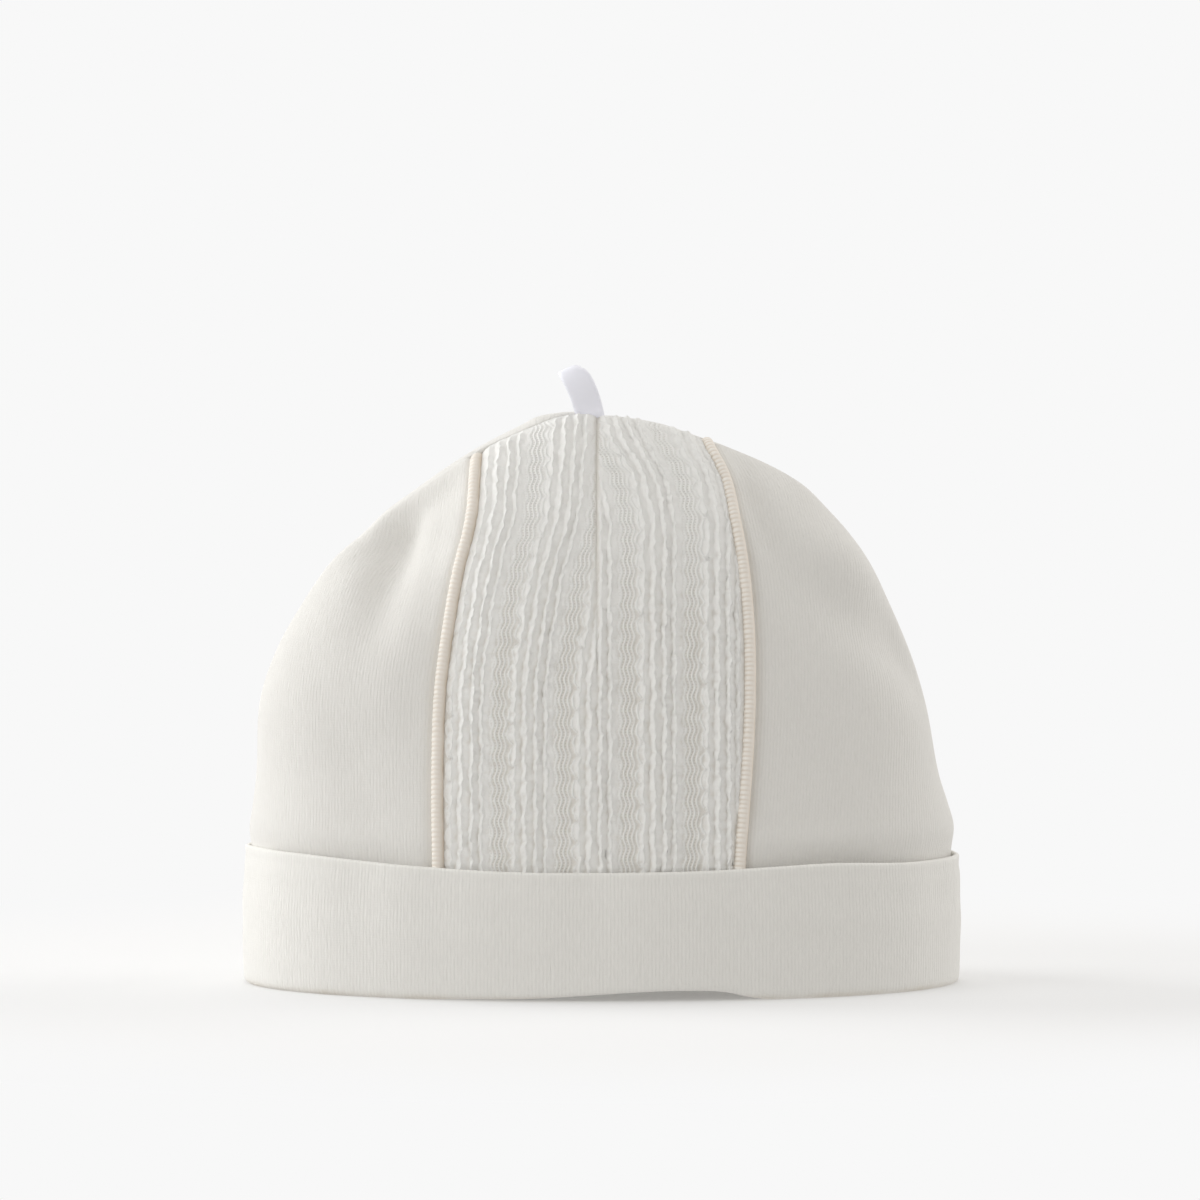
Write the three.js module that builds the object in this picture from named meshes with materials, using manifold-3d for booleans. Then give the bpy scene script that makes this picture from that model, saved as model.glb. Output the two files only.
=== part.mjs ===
// A baby's knitted nightcap, standing on its turned-up cuff.
// Units are millimetres. The front faces -Y, +X is to the right as seen from the front and +Z is up.
// The origin is on the floor, at the middle of the cuff.
import * as THREE from "three";
import { mergeVertices } from "three/addons/utils/BufferGeometryUtils.js";
import Module from "manifold-3d";

const { lerp, clamp, degToRad, radToDeg } = THREE.MathUtils;

// Driving dimensions
const capWidth = 158.6; // across the cuff, side to side
const capDepth = 90; // across the cuff, front to back
const crownHeight = 125.4; // floor to the top of the crown, without the loop
const cuffHeight = 29; // floor to the cuff's upper fold, on average
const panelWall = 1.2; // jersey of the crown
const cuffWall = 1.2; // doubled jersey of the cuff's outer leg
const cuffSideEase = 0.5; // air between cuff and crown at the sides
const cuffLegHeight = 8; // floor to the seam between crown and cuff, hidden inside the cuff
const cuffFoldCloth = 1.6; // cloth under the slot between the cuff's two legs
const hemLift = 1.8; // how far the hem's arch at the front rises from the floor
const seamGap = 0.3; // between two pieces that are sewn together
const pipingDiameter = 2.4;
const pipingSink = 0.3; // the cord's centre line lies this far under the jersey's surface
const ribRepeat = 14.4; // width of one repeat of the centre panel's knit
const ribHeight = 0.5; // how far its ribs stand proud
const dartDepth = 0.9; // groove along the dart's stitched line
const dartGrooveWidth = 2.4;
const dartTakeUp = 7; // cloth that the front dart takes in on each side of its line, at the top
const ribbonWidth = 6.2; // satin ribbon of the hanging loop
const ribbonWall = 1;
const loopHeight = 10.9; // above the crown, along the loop
const loopThickness = 4.6; // the folded loop's greatest thickness
const loopTail = 4; // sewn in below the crown's surface
const loopLean = 19; // degrees to the left

// Sizes that follow from them
const pipingRadius = pipingDiameter / 2;
const cuffFrontEase = pipingRadius - pipingSink + seamGap + 0.1;
const crownHalfWidth = capWidth / 2 - cuffWall - cuffSideEase;
const crownHalfDepth = capDepth / 2 - cuffWall - cuffFrontEase;
const crownBase = cuffLegHeight + seamGap;

// Horizontal sections of the crown, from its top down. height is a share of crownHeight; left, right and centre are
// shares of the crown's half width, measured from the middle; front and back are shares of its half depth.
const sections = [
  { height: 1.0, left: 0.052, right: -0.052, centre: -0.052, front: 0.0, back: 0.0 },
  { height: 0.993, left: 0.17, right: 0.03, centre: -0.05, front: 0.1, back: 0.1 },
  { height: 0.98, left: 0.215, right: 0.158, centre: -0.04, front: 0.17, back: 0.168 },
  { height: 0.959, left: 0.282, right: 0.262, centre: -0.03, front: 0.242, back: 0.238 },
  { height: 0.938, left: 0.346, right: 0.362, centre: -0.02, front: 0.298, back: 0.29 },
  { height: 0.916, left: 0.406, right: 0.446, centre: -0.01, front: 0.345, back: 0.333 },
  { height: 0.874, left: 0.51, right: 0.566, centre: 0.0, front: 0.422, back: 0.404 },
  { height: 0.833, left: 0.613, right: 0.636, centre: 0.0, front: 0.5, back: 0.478 },
  { height: 0.791, left: 0.682, right: 0.7, centre: 0.0, front: 0.56, back: 0.536 },
  { height: 0.748, left: 0.751, right: 0.749, centre: 0.0, front: 0.614, back: 0.59 },
  { height: 0.665, left: 0.851, right: 0.82, centre: 0.0, front: 0.702, back: 0.68 },
  { height: 0.581, left: 0.92, right: 0.876, centre: 0.0, front: 0.776, back: 0.755 },
  { height: 0.498, left: 0.965, right: 0.918, centre: 0.0, front: 0.836, back: 0.82 },
  { height: 0.372, left: 0.986, right: 0.963, centre: 0.0, front: 0.912, back: 0.902 },
  { height: 0.29, left: 1.0, right: 1.0, centre: 0.0, front: 0.952, back: 0.946 },
  { height: 0.22, left: 1.0, right: 1.0, centre: 0.0, front: 0.98, back: 0.977 },
  { height: 0.11, left: 1.0, right: 1.0, centre: 0.0, front: 0.997, back: 0.997 },
  { height: 0.0, left: 1.0, right: 1.0, centre: 0.0, front: 1.0, back: 1.0 },
];

// Where the two piping lines run on the front, as shares of crownHeight and of the crown's half width.
const pipingLines = [
  { height: 0.0, left: -0.46, right: 0.378 },
  { height: 0.24, left: -0.46, right: 0.39 },
  { height: 0.335, left: -0.463, right: 0.402 },
  { height: 0.44, left: -0.464, right: 0.415 },
  { height: 0.54, left: -0.459, right: 0.421 },
  { height: 0.64, left: -0.439, right: 0.419 },
  { height: 0.735, left: -0.411, right: 0.405 },
  { height: 0.83, left: -0.368, right: 0.376 },
  { height: 0.9, left: -0.357, right: 0.348 },
  { height: 0.95, left: -0.35, right: 0.299 },
  { height: 1.0, left: -0.345, right: 0.26 },
];

// The seam from ear to ear wanders off the ridge: across is a share of the half width, forward of the half depth.
const seamDrift = [
  { across: -0.62, forward: 0.0 },
  { across: -0.35, forward: 0.07 },
  { across: -0.2, forward: 0.1 },
  { across: -0.05, forward: 0.045 },
  { across: 0.06, forward: 0.015 },
  { across: 0.2, forward: 0.0 },
  { across: 0.34, forward: -0.02 },
  { across: 0.5, forward: 0.0 },
];

// One repeat of the centre panel's knit, from the middle of one zigzag band to the next. raise is a share of ribHeight.
const ribProfile = [
  { across: 0.11, raise: 0.0 },
  { across: 0.22, raise: 0.7 },
  { across: 0.35, raise: 0.1 },
  { across: 0.44, raise: 1.0 },
  { across: 0.54, raise: 0.0 },
  { across: 0.63, raise: 1.0 },
  { across: 0.71, raise: 0.0 },
  { across: 0.79, raise: 0.9 },
  { across: 0.89, raise: 0.0 },
];
const ribPhase = -0.02; // the panel's left seam cuts the repeat here

// Straight darts that shape the crown. across is a share of the half width, foot of crownHeight.
const darts = {
  front: { across: -0.013, foot: 0.65 },
  back: { across: 0.0, foot: 0.65 },
};

// Soft dents (and, where depth is negative, swells). across, wide and long are shares of the half width, height of
// crownHeight, lean is in degrees to the right of upright and depth in shares of the panel's wall.
const dents = [
  { face: "front", across: -0.615, height: 0.775, wide: 0.042, long: 0.13, lean: 10, depth: 1.3 },
  { face: "front", across: -0.53, height: 0.785, wide: 0.045, long: 0.11, lean: 6, depth: -0.5 },
  { face: "front", across: 0.4, height: 0.88, wide: 0.03, long: 0.08, lean: -22, depth: 0.7 },
  { face: "front", across: 0.78, height: 0.66, wide: 0.07, long: 0.2, lean: -38, depth: 0.5 },
  { face: "front", across: 0.74, height: 0.735, wide: 0.06, long: 0.16, lean: -48, depth: -0.4 },
  { face: "back", across: 0.5, height: 0.74, wide: 0.05, long: 0.16, lean: -14, depth: 0.9 },
  { face: "back", across: -0.46, height: 0.7, wide: 0.06, long: 0.19, lean: 12, depth: 0.8 },
];

// Section through the cuff's hem: across runs from the inside (0) to the outside (1), height is in cuffFoldCloth.
const hemProfile = [
  { across: 1.0, height: 2.3 },
  { across: 0.97, height: 1.25 },
  { across: 0.88, height: 0.5 },
  { across: 0.76, height: 0.1 },
  { across: 0.66, height: 0.0 },
  { across: 0.3, height: 0.0 },
  { across: 0.17, height: 0.2 },
  { across: 0.05, height: 0.8 },
  { across: 0.0, height: 1.7 },
];

// The cuff's upper fold waves a little. angle is in degrees round the cap: 0 right, 90 back, 180 left, 270 front.
const cuffRim = [
  { angle: 0, height: 0.985 },
  { angle: 60, height: 1.0 },
  { angle: 120, height: 1.015 },
  { angle: 170, height: 1.05 },
  { angle: 212, height: 1.055 },
  { angle: 237, height: 1.005 },
  { angle: 256, height: 0.972 },
  { angle: 285, height: 0.978 },
  { angle: 310, height: 1.01 },
  { angle: 328, height: 0.985 },
  { angle: 360, height: 0.985 },
];

const hemArch = { angle: 286, halfSpan: 26 }; // degrees round the cap, 270 being the front

// A smooth curve through a table: returns the named columns at any value of the key column.
function curveThrough(rows, key, columns) {
  const keys = rows.map((row) => row[key]);
  const values = rows.flatMap((row) => columns.map((name) => row[name]));
  const curve = new THREE.CubicInterpolant(keys, values, columns.length);
  return (at) => {
    const found = curve.evaluate(at);
    return Object.fromEntries(columns.map((name, i) => [name, found[i]]));
  };
}

// The value in [low, high] at which a steadily changing function crosses zero.
function solve(low, high, excess) {
  const rising = excess(high) > excess(low);
  for (let step = 0; step < 40; step++) {
    const middle = (low + high) / 2;
    if (excess(middle) > 0 === rising) high = middle;
    else low = middle;
  }
  return (low + high) / 2;
}

// The crown's surface
// A dome's width grows with the square root of the way down from its top, so the sections are joined over that root.
const rootOfDrop = (heightShare) => Math.sqrt(Math.max(0, 1 - heightShare));
const sectionShares = curveThrough(
  sections.map((row) => ({ ...row, drop: rootOfDrop(row.height) })),
  "drop",
  ["left", "right", "centre", "front", "back"],
);
const pipingShares = curveThrough(pipingLines, "height", ["left", "right"]);
const driftShares = curveThrough(seamDrift, "across", ["forward"]);
const rimShares = curveThrough(cuffRim, "angle", ["height"]);

// Half widths and half depths of the section at height z, about the middle of that section.
function sectionAt(z) {
  const share = sectionShares(rootOfDrop(z / crownHeight));
  const centre = share.centre * crownHalfWidth;
  return {
    centre,
    left: share.left * crownHalfWidth + centre,
    right: share.right * crownHalfWidth - centre,
    front: share.front * crownHalfDepth,
    back: share.back * crownHalfDepth,
  };
}

// A point of the crown at height z and an angle round it: 0 right, 90 back, 180 left, 270 front, in radians.
function ringPoint(z, angle) {
  const section = sectionAt(z);
  const across = Math.cos(angle);
  const along = Math.sin(angle);
  const x = section.centre + across * (across < 0 ? section.left : section.right);
  const y = along * (along < 0 ? section.front : section.back);
  return new THREE.Vector3(x, y, z);
}

function ringAngle(point) {
  const section = sectionAt(point.z);
  const across = point.x - section.centre;
  const cosine = across / (across < 0 ? section.left : section.right);
  const sine = point.y / (point.y < 0 ? section.front : section.back);
  return (Math.atan2(sine, cosine) + 2 * Math.PI) % (2 * Math.PI);
}

// The outward normal of the crown at one of its points, from the gradient of the section's equation.
function crownNormal(point) {
  const level = (z) => {
    const section = sectionAt(z);
    const across = point.x - section.centre;
    const x = across / (across < 0 ? section.left : section.right);
    const y = point.y / (point.y < 0 ? section.front : section.back);
    return x * x + y * y;
  };
  const section = sectionAt(point.z);
  const across = point.x - section.centre;
  const step = Math.min(crownHeight / 1000, (crownHeight - point.z) / 4);
  return new THREE.Vector3(
    (2 * across) / (across < 0 ? section.left : section.right) ** 2,
    (2 * point.y) / (point.y < 0 ? section.front : section.back) ** 2,
    (level(point.z + step) - level(point.z - step)) / (2 * step),
  ).normalize();
}

// How far in front of the middle the ear-to-ear seam lies, at x.
const seamForward = (x) => driftShares(x / crownHalfWidth).forward * crownHalfDepth;

// The height at which an upright line, given as x at each height, reaches the crown's ridge.
function ridgeHeight(lineX) {
  return solve(crownBase, crownHeight, (z) => {
    const section = sectionAt(z);
    const across = lineX(z) - section.centre;
    return (across < 0 ? section.left : section.right) - Math.abs(across);
  });
}

// Follows an upright line from the front hem (turn 0) over the ridge (turn 90) to the back hem (turn 180).
function overTop(lineX, top, turn) {
  const z = crownBase + (top - crownBase) * Math.min(Math.sin(turn), 0.999999);
  const section = sectionAt(z);
  const x = lineX(z);
  const across = x - section.centre;
  const share = Math.min(1, Math.abs(across) / (across < 0 ? section.left : section.right));
  const rise = Math.sqrt(1 - share * share);
  return new THREE.Vector3(x, turn < Math.PI / 2 ? -section.front * rise : section.back * rise, z);
}

// One upright line of cloth, from the hem up to the ear-to-ear seam, as a function of the share of the way up.
function clothLine(lineX, face) {
  const top = ridgeHeight(lineX);
  const start = face === "front" ? 0 : Math.PI;
  const edge = face === "front" ? -seamGap / 2 : seamGap / 2;
  const end = solve(0, Math.PI, (turn) => {
    const point = overTop(lineX, top, turn);
    return point.y + seamForward(point.x) - edge;
  });
  return (share) => overTop(lineX, top, lerp(start, end, share));
}

// A patch between the ear-to-ear seam at one side and an upright line. Returns a point for shares across and up.
function sidePatch(side, lineX, face) {
  const line = clothLine(lineX, face);
  const tipWidth = panelWall; // the patch's narrow upper end
  const tip = solve(crownBase, crownHeight, (z) => {
    const section = sectionAt(z);
    return section[side] - Math.abs(lineX(z) - section.centre) - tipWidth;
  });
  const sideAngle = side === "left" ? Math.PI : face === "front" ? 2 * Math.PI : 0;
  const turnSign = (face === "front") === (side === "left") ? 1 : -1;
  const edge = face === "front" ? -seamGap / 2 : seamGap / 2;
  const seamAngle = (z) => {
    const section = sectionAt(z);
    const x = section.centre + (side === "left" ? -section.left : section.right);
    const y = edge - seamForward(x);
    const offset = Math.asin(clamp(Math.abs(y) / (y < 0 ? section.front : section.back), 0, 1));
    return sideAngle + ((y < 0) === (face === "front") ? turnSign : -turnSign) * offset;
  };
  return (across, up) => {
    const seamZ = lerp(crownBase, tip, Math.sin((up * Math.PI) / 2));
    const onLine = line(up);
    const start = seamAngle(seamZ);
    const end = ringAngle(onLine);
    const turns = Math.round((start - end) / (2 * Math.PI));
    return ringPoint(lerp(seamZ, onLine.z, across), lerp(start, end + turns * 2 * Math.PI, across));
  };
}

// How far a point's dents push it in. Positive is inwards.
function dentDepth(point, face) {
  return dents
    .filter((dent) => dent.face === face)
    .reduce((sum, dent) => {
      const lean = degToRad(dent.lean);
      const dx = point.x - dent.across * crownHalfWidth;
      const dz = point.z - dent.height * crownHeight;
      const wide = (dx * Math.cos(lean) - dz * Math.sin(lean)) / (dent.wide * crownHalfWidth);
      const long = (dx * Math.sin(lean) + dz * Math.cos(lean)) / (dent.long * crownHalfWidth);
      return sum + dent.depth * panelWall * Math.exp(-(wide * wide + long * long) / 2);
    }, 0);
}

// How far along the dart a height is: 0 at its foot and below, 1 at the crown's top.
const dartShare = (face, z) => clamp((z / crownHeight - darts[face].foot) / (1 - darts[face].foot), 0, 1);

function dartGroove(point, face) {
  const away = (point.x - darts[face].across * crownHalfWidth) / (dartGrooveWidth / 2);
  return dartDepth * Math.sqrt(dartShare(face, point.z)) * Math.exp(-away * away);
}

// Both faces of the cloth at a surface point: the outside raised by its relief, the inside a wall's thickness below.
function clothAt(point, face, relief = 0) {
  const normal = crownNormal(point);
  const sink = dentDepth(point, face) + dartGroove(point, face);
  return {
    outer: point.clone().addScaledVector(normal, relief - sink),
    inner: point.clone().addScaledVector(normal, -panelWall - sink),
  };
}

// Closed geometry from vertices and triangles, turned inside out if its faces point inwards.
function closedGeometry(points, triangles) {
  const volume = triangles.reduce((sum, [a, b, c]) => {
    return sum + points[a].dot(points[b].clone().cross(points[c]));
  }, 0);
  const facing = volume < 0 ? triangles.map(([a, b, c]) => [a, c, b]) : triangles;
  const geometry = new THREE.BufferGeometry().setFromPoints(points);
  geometry.setIndex(facing.flat());
  geometry.computeVertexNormals();
  return geometry;
}

// A piece of cloth from a grid of {outer, inner} points, closed round its edges.
function clothSheet(columns, rows, place) {
  const points = [];
  const at = (layer, i, j) => (layer * (columns + 1) + i) * (rows + 1) + j;
  const grid = [];
  for (let i = 0; i <= columns; i++) for (let j = 0; j <= rows; j++) grid.push(place(i, j));
  for (const layer of ["outer", "inner"]) points.push(...grid.map((cloth) => cloth[layer]));
  const triangles = [];
  const quad = (a, b, c, d) => triangles.push([a, b, c], [a, c, d]);
  for (let i = 0; i < columns; i++) {
    for (let j = 0; j < rows; j++) {
      quad(at(0, i, j), at(0, i + 1, j), at(0, i + 1, j + 1), at(0, i, j + 1));
      quad(at(1, i, j), at(1, i, j + 1), at(1, i + 1, j + 1), at(1, i + 1, j));
    }
    quad(at(0, i + 1, 0), at(0, i, 0), at(1, i, 0), at(1, i + 1, 0));
    quad(at(0, i, rows), at(0, i + 1, rows), at(1, i + 1, rows), at(1, i, rows));
  }
  for (let j = 0; j < rows; j++) {
    quad(at(0, 0, j), at(0, 0, j + 1), at(1, 0, j + 1), at(1, 0, j));
    quad(at(0, columns, j + 1), at(0, columns, j), at(1, columns, j), at(1, columns, j + 1));
  }
  return closedGeometry(points, triangles);
}

// Where the piping runs, and the panel edges that lie a cord's radius and a gap to either side of it.
const pipingX = (side, z) => pipingShares(z / crownHeight)[side] * crownHalfWidth;
const panelEdgeX = (side, z, outwards) => {
  const away = (side === "left" ? -1 : 1) * (outwards ? 1 : -1);
  return pipingX(side, z) + away * (pipingRadius + seamGap);
};

// Plain jersey panels at the sides of the front
function sidePanel(side) {
  const columns = 11;
  const rows = 20;
  const patch = sidePatch(side, (z) => panelEdgeX(side, z, true), "front");
  return clothSheet(columns, rows, (i, j) => clothAt(patch(i / columns, j / rows), "front"));
}

// The distance that cloth lies from the front dart's line, at height z, when it lies that far away at the hem. The
// dart swallows the nearest cloth, and the rest fills the room between the dart and the panel's edge.
function besideDart(distance, full, room, z) {
  const taken = dartTakeUp * dartShare("front", z) ** 1.3;
  const softness = dartTakeUp / 2.5;
  const left = (d) => (d - taken + Math.hypot(d - taken, softness)) / 2;
  return (room * (left(distance) - left(0))) / (left(full) - left(0));
}

// The x, at each height, of a line of knit that starts at a share of the centre panel's width at the hem.
function knitLine(share) {
  const dartX = darts.front.across * crownHalfWidth;
  const leftEdge = panelEdgeX("left", crownBase, false);
  const rightEdge = panelEdgeX("right", crownBase, false);
  const start = lerp(leftEdge, rightEdge, share);
  return (z) => {
    if (start < dartX) {
      const room = dartX - panelEdgeX("left", z, false);
      return dartX - besideDart(dartX - start, dartX - leftEdge, room, z);
    }
    const room = panelEdgeX("right", z, false) - dartX;
    return dartX + besideDart(start - dartX, rightEdge - dartX, room, z);
  };
}

// The centre panel's knit as columns across its width: each has a share of the width and the rib's height there.
function knitColumns() {
  const width = panelEdgeX("right", crownBase, false) - panelEdgeX("left", crownBase, false);
  const least = 0.02; // no column closer than this share to a seam
  const columns = [{ share: 0, raise: 0 }];
  for (let repeat = 0; (repeat + ribPhase) * ribRepeat < width; repeat++) {
    for (const rib of ribProfile) {
      const share = ((repeat + ribPhase + rib.across) * ribRepeat) / width;
      if (share > least && share < 1 - least) columns.push({ share, raise: rib.raise * ribHeight });
    }
  }
  return [...columns, { share: 1, raise: 0 }];
}

// The ribbed centre panel, drawn in along the dart
function centrePanel() {
  const rows = 20;
  const columns = knitColumns();
  const lines = columns.map(({ share }) => clothLine(knitLine(share), "front"));
  return clothSheet(columns.length - 1, rows, (i, j) => {
    return clothAt(lines[i](j / rows), "front", columns[i].raise);
  });
}

// The plain back panel: a patch at each side, and upright lines between them
function backPanel() {
  const sideColumns = 8;
  const middleColumns = 14;
  const rows = 20;
  const lineX = (side) => (z) => pipingX(side, z);
  const leftPatch = sidePatch("left", lineX("left"), "back");
  const rightPatch = sidePatch("right", lineX("right"), "back");
  const middle = Array.from({ length: middleColumns + 1 }, (_, i) => {
    const even = (2 * i) / middleColumns - 1;
    const share = Math.sign(even) * Math.abs(even) ** 1.6; // closer together at the dart
    return clothLine((z) => {
      const dartX = darts.back.across * crownHalfWidth;
      return dartX + Math.abs(share) * (pipingX(share < 0 ? "left" : "right", z) - dartX);
    }, "back");
  });
  const last = sideColumns * 2 + middleColumns;
  return clothSheet(last, rows, (i, j) => {
    const up = j / rows;
    if (i < sideColumns) return clothAt(leftPatch(i / sideColumns, up), "back");
    if (i > last - sideColumns) return clothAt(rightPatch((last - i) / sideColumns, up), "back");
    return clothAt(middle[i - sideColumns](up), "back");
  });
}

// Covered cord in the seam between a side panel and the centre panel
function piping(side) {
  const steps = 40;
  const sides = 8;
  const line = clothLine((z) => pipingX(side, z), "front");
  const top = 1 - pipingRadius / crownHeight; // stops short of the ear-to-ear seam
  const points = Array.from({ length: steps / 2 + 1 }, (_, i) => {
    const point = line((i / (steps / 2)) * top);
    const sink = pipingSink + dentDepth(point, "front");
    return point.addScaledVector(crownNormal(point), -sink);
  });
  const circle = new THREE.Shape(
    Array.from({ length: sides }, (_, i) => {
      const turn = (2 * Math.PI * i) / sides;
      return new THREE.Vector2(Math.cos(turn), Math.sin(turn)).multiplyScalar(pipingRadius);
    }),
  );
  return new THREE.ExtrudeGeometry(circle, { steps, extrudePath: new THREE.CatmullRomCurve3(points) });
}

// The turned-up cuff: a short inner leg under the crown, the fold on the floor and a tall outer leg
function cuff() {
  const around = 64;
  const topRound = cuffWall / 4;
  const sectionOf = (angle) => {
    const ease = lerp(cuffSideEase, cuffFrontEase, Math.sin(angle) ** 2);
    const outside = ease + cuffWall;
    const top = cuffHeight * rimShares(radToDeg(angle)).height;
    return [
      ...hemProfile.map((row) => [lerp(-panelWall, outside, row.across), row.height * cuffFoldCloth]),
      [-panelWall, cuffLegHeight],
      [0, cuffLegHeight],
      [0, cuffFoldCloth],
      [ease, cuffFoldCloth],
      [ease, top - topRound],
      [ease + topRound, top],
      [outside - topRound, top],
      [outside, top - topRound],
      [outside, top / 2],
    ];
  };
  const lift = (angle, z) => {
    const away = (angle - degToRad(hemArch.angle)) / degToRad(hemArch.halfSpan);
    if (Math.abs(away) >= 1) return 0;
    return hemLift * Math.cos((away * Math.PI) / 2) ** 2 * Math.max(0, 1 - z / cuffLegHeight);
  };
  const points = [];
  for (let i = 0; i < around; i++) {
    const angle = (2 * Math.PI * i) / around;
    const rim = new THREE.Vector2(crownHalfWidth * Math.cos(angle), crownHalfDepth * Math.sin(angle));
    const outwards = new THREE.Vector2(
      Math.cos(angle) / crownHalfWidth,
      Math.sin(angle) / crownHalfDepth,
    ).normalize();
    for (const [out, z] of sectionOf(angle)) {
      const at = rim.clone().addScaledVector(outwards, out);
      points.push(new THREE.Vector3(at.x, at.y, z + lift(angle, z)));
    }
  }
  const size = points.length / around;
  const triangles = [];
  for (let i = 0; i < around; i++) {
    const next = (i + 1) % around;
    for (let k = 0; k < size; k++) {
      const after = (k + 1) % size;
      triangles.push([i * size + k, next * size + k, next * size + after]);
      triangles.push([i * size + k, next * size + after, i * size + after]);
    }
  }
  return closedGeometry(points, triangles);
}

// The satin ribbon seen from its side, folded over on itself, as wide as the ribbon
function hangingLoop() {
  const half = loopThickness / 2;
  const halfGap = half - ribbonWall;
  const part = loopHeight * 0.14; // the two legs part here
  const widest = loopHeight * 0.68;
  const outline = new THREE.Shape();
  outline.moveTo(-ribbonWall, -loopTail);
  outline.lineTo(-ribbonWall, 0);
  outline.bezierCurveTo(-ribbonWall, widest / 2, -half, widest / 2, -half, widest);
  outline.bezierCurveTo(-half, loopHeight * 0.9, -half / 2, loopHeight, 0, loopHeight);
  outline.bezierCurveTo(half / 2, loopHeight, half, loopHeight * 0.9, half, widest);
  outline.bezierCurveTo(half, widest / 2, ribbonWall, widest / 2, ribbonWall, 0);
  outline.lineTo(ribbonWall, -loopTail);
  outline.closePath();
  const inside = loopHeight - ribbonWall;
  const gap = new THREE.Path();
  gap.moveTo(0, part);
  gap.bezierCurveTo(halfGap / 2, widest / 2, halfGap, widest / 1.6, halfGap, widest);
  gap.bezierCurveTo(halfGap, inside * 0.93, halfGap / 2, inside, 0, inside);
  gap.bezierCurveTo(-halfGap / 2, inside, -halfGap, inside * 0.93, -halfGap, widest);
  gap.bezierCurveTo(-halfGap, widest / 1.6, -halfGap / 2, widest / 2, 0, part);
  outline.holes.push(gap);
  const geometry = new THREE.ExtrudeGeometry(outline, {
    depth: ribbonWidth,
    bevelEnabled: false,
    curveSegments: 6,
  });
  return geometry.translate(0, 0, -ribbonWidth / 2).rotateX(Math.PI / 2).rotateZ(Math.PI / 2);
}

const wasm = await Module();
wasm.setup();

function solidOf(geometry) {
  const bare = new THREE.BufferGeometry().setAttribute("position", geometry.getAttribute("position"));
  bare.setIndex(geometry.getIndex());
  const merged = mergeVertices(bare);
  const triVerts = new Uint32Array(merged.getIndex().array);
  const vertProperties = merged.getAttribute("position").array;
  return new wasm.Manifold(new wasm.Mesh({ numProp: 3, vertProperties, triVerts }));
}

function withSlot(geometry, slot) {
  const mesh = solidOf(geometry).subtract(solidOf(slot)).getMesh();
  const cut = new THREE.BufferGeometry();
  cut.setAttribute("position", new THREE.BufferAttribute(mesh.vertProperties, 3));
  cut.setIndex(new THREE.BufferAttribute(mesh.triVerts, 1));
  cut.computeVertexNormals();
  return cut;
}

// Materials
const jersey = new THREE.MeshStandardMaterial({ color: 0xefece4, roughness: 0.92, metalness: 0 });
const ribbedKnit = new THREE.MeshStandardMaterial({ color: 0xf0eee6, roughness: 0.95, metalness: 0 });
const pipingCloth = new THREE.MeshStandardMaterial({ color: 0xeee3d0, roughness: 0.9, metalness: 0 });
const satin = new THREE.MeshStandardMaterial({ color: 0xf3f3fa, roughness: 0.4, metalness: 0 });

const cap = new THREE.Group();

function addPiece(parent, name, geometry, material) {
  const mesh = new THREE.Mesh(geometry, material);
  mesh.name = name;
  parent.add(mesh);
  return mesh;
}

// The loop stands on the ear-to-ear seam, left of the middle, and its tail goes through a slot between the panels.
const loopX = -0.032 * crownHalfWidth;
const loopPlace = new THREE.Group();
loopPlace.position.set(loopX, -seamForward(loopX), ridgeHeight(() => loopX));
loopPlace.rotation.y = -degToRad(loopLean);
loopPlace.updateMatrix();
addPiece(loopPlace, "hanging_loop", hangingLoop(), satin);
const slot = new THREE.BoxGeometry(
  ribbonWidth + 2 * seamGap,
  2 * (ribbonWall + seamGap),
  2 * (loopTail + panelWall),
).applyMatrix4(loopPlace.matrix);

const crown = new THREE.Group();
addPiece(crown, "crown_left_panel", sidePanel("left"), jersey);
addPiece(crown, "crown_right_panel", sidePanel("right"), jersey);
addPiece(crown, "crown_centre_panel", withSlot(centrePanel(), slot), ribbedKnit);
addPiece(crown, "crown_back_panel", withSlot(backPanel(), slot), jersey);
addPiece(crown, "piping_left", piping("left"), pipingCloth);
addPiece(crown, "piping_right", piping("right"), pipingCloth);

cap.add(crown, loopPlace);
addPiece(cap, "cuff", cuff(), jersey);

export default cap;
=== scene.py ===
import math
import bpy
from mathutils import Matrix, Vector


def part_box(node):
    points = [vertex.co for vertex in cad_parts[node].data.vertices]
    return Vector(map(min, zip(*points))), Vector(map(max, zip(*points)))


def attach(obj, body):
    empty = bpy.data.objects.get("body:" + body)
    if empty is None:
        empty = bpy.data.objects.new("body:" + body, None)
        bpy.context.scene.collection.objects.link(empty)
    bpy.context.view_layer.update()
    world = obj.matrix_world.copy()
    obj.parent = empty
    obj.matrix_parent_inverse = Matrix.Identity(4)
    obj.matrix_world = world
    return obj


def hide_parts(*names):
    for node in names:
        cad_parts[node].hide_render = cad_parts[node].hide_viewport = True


bl_info = {
    "name": "Baby's knitted nightcap",
    "version": (1, 0, 0),
    "blender": (4, 5, 0),
    "location": "3D View > Sidebar > Nightcap",
    "description": "Builds a jersey nightcap with a ribbed front panel, corded piping and a turned-up cuff",
    "category": "Object",
}

import bpy
import numpy as np

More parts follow.
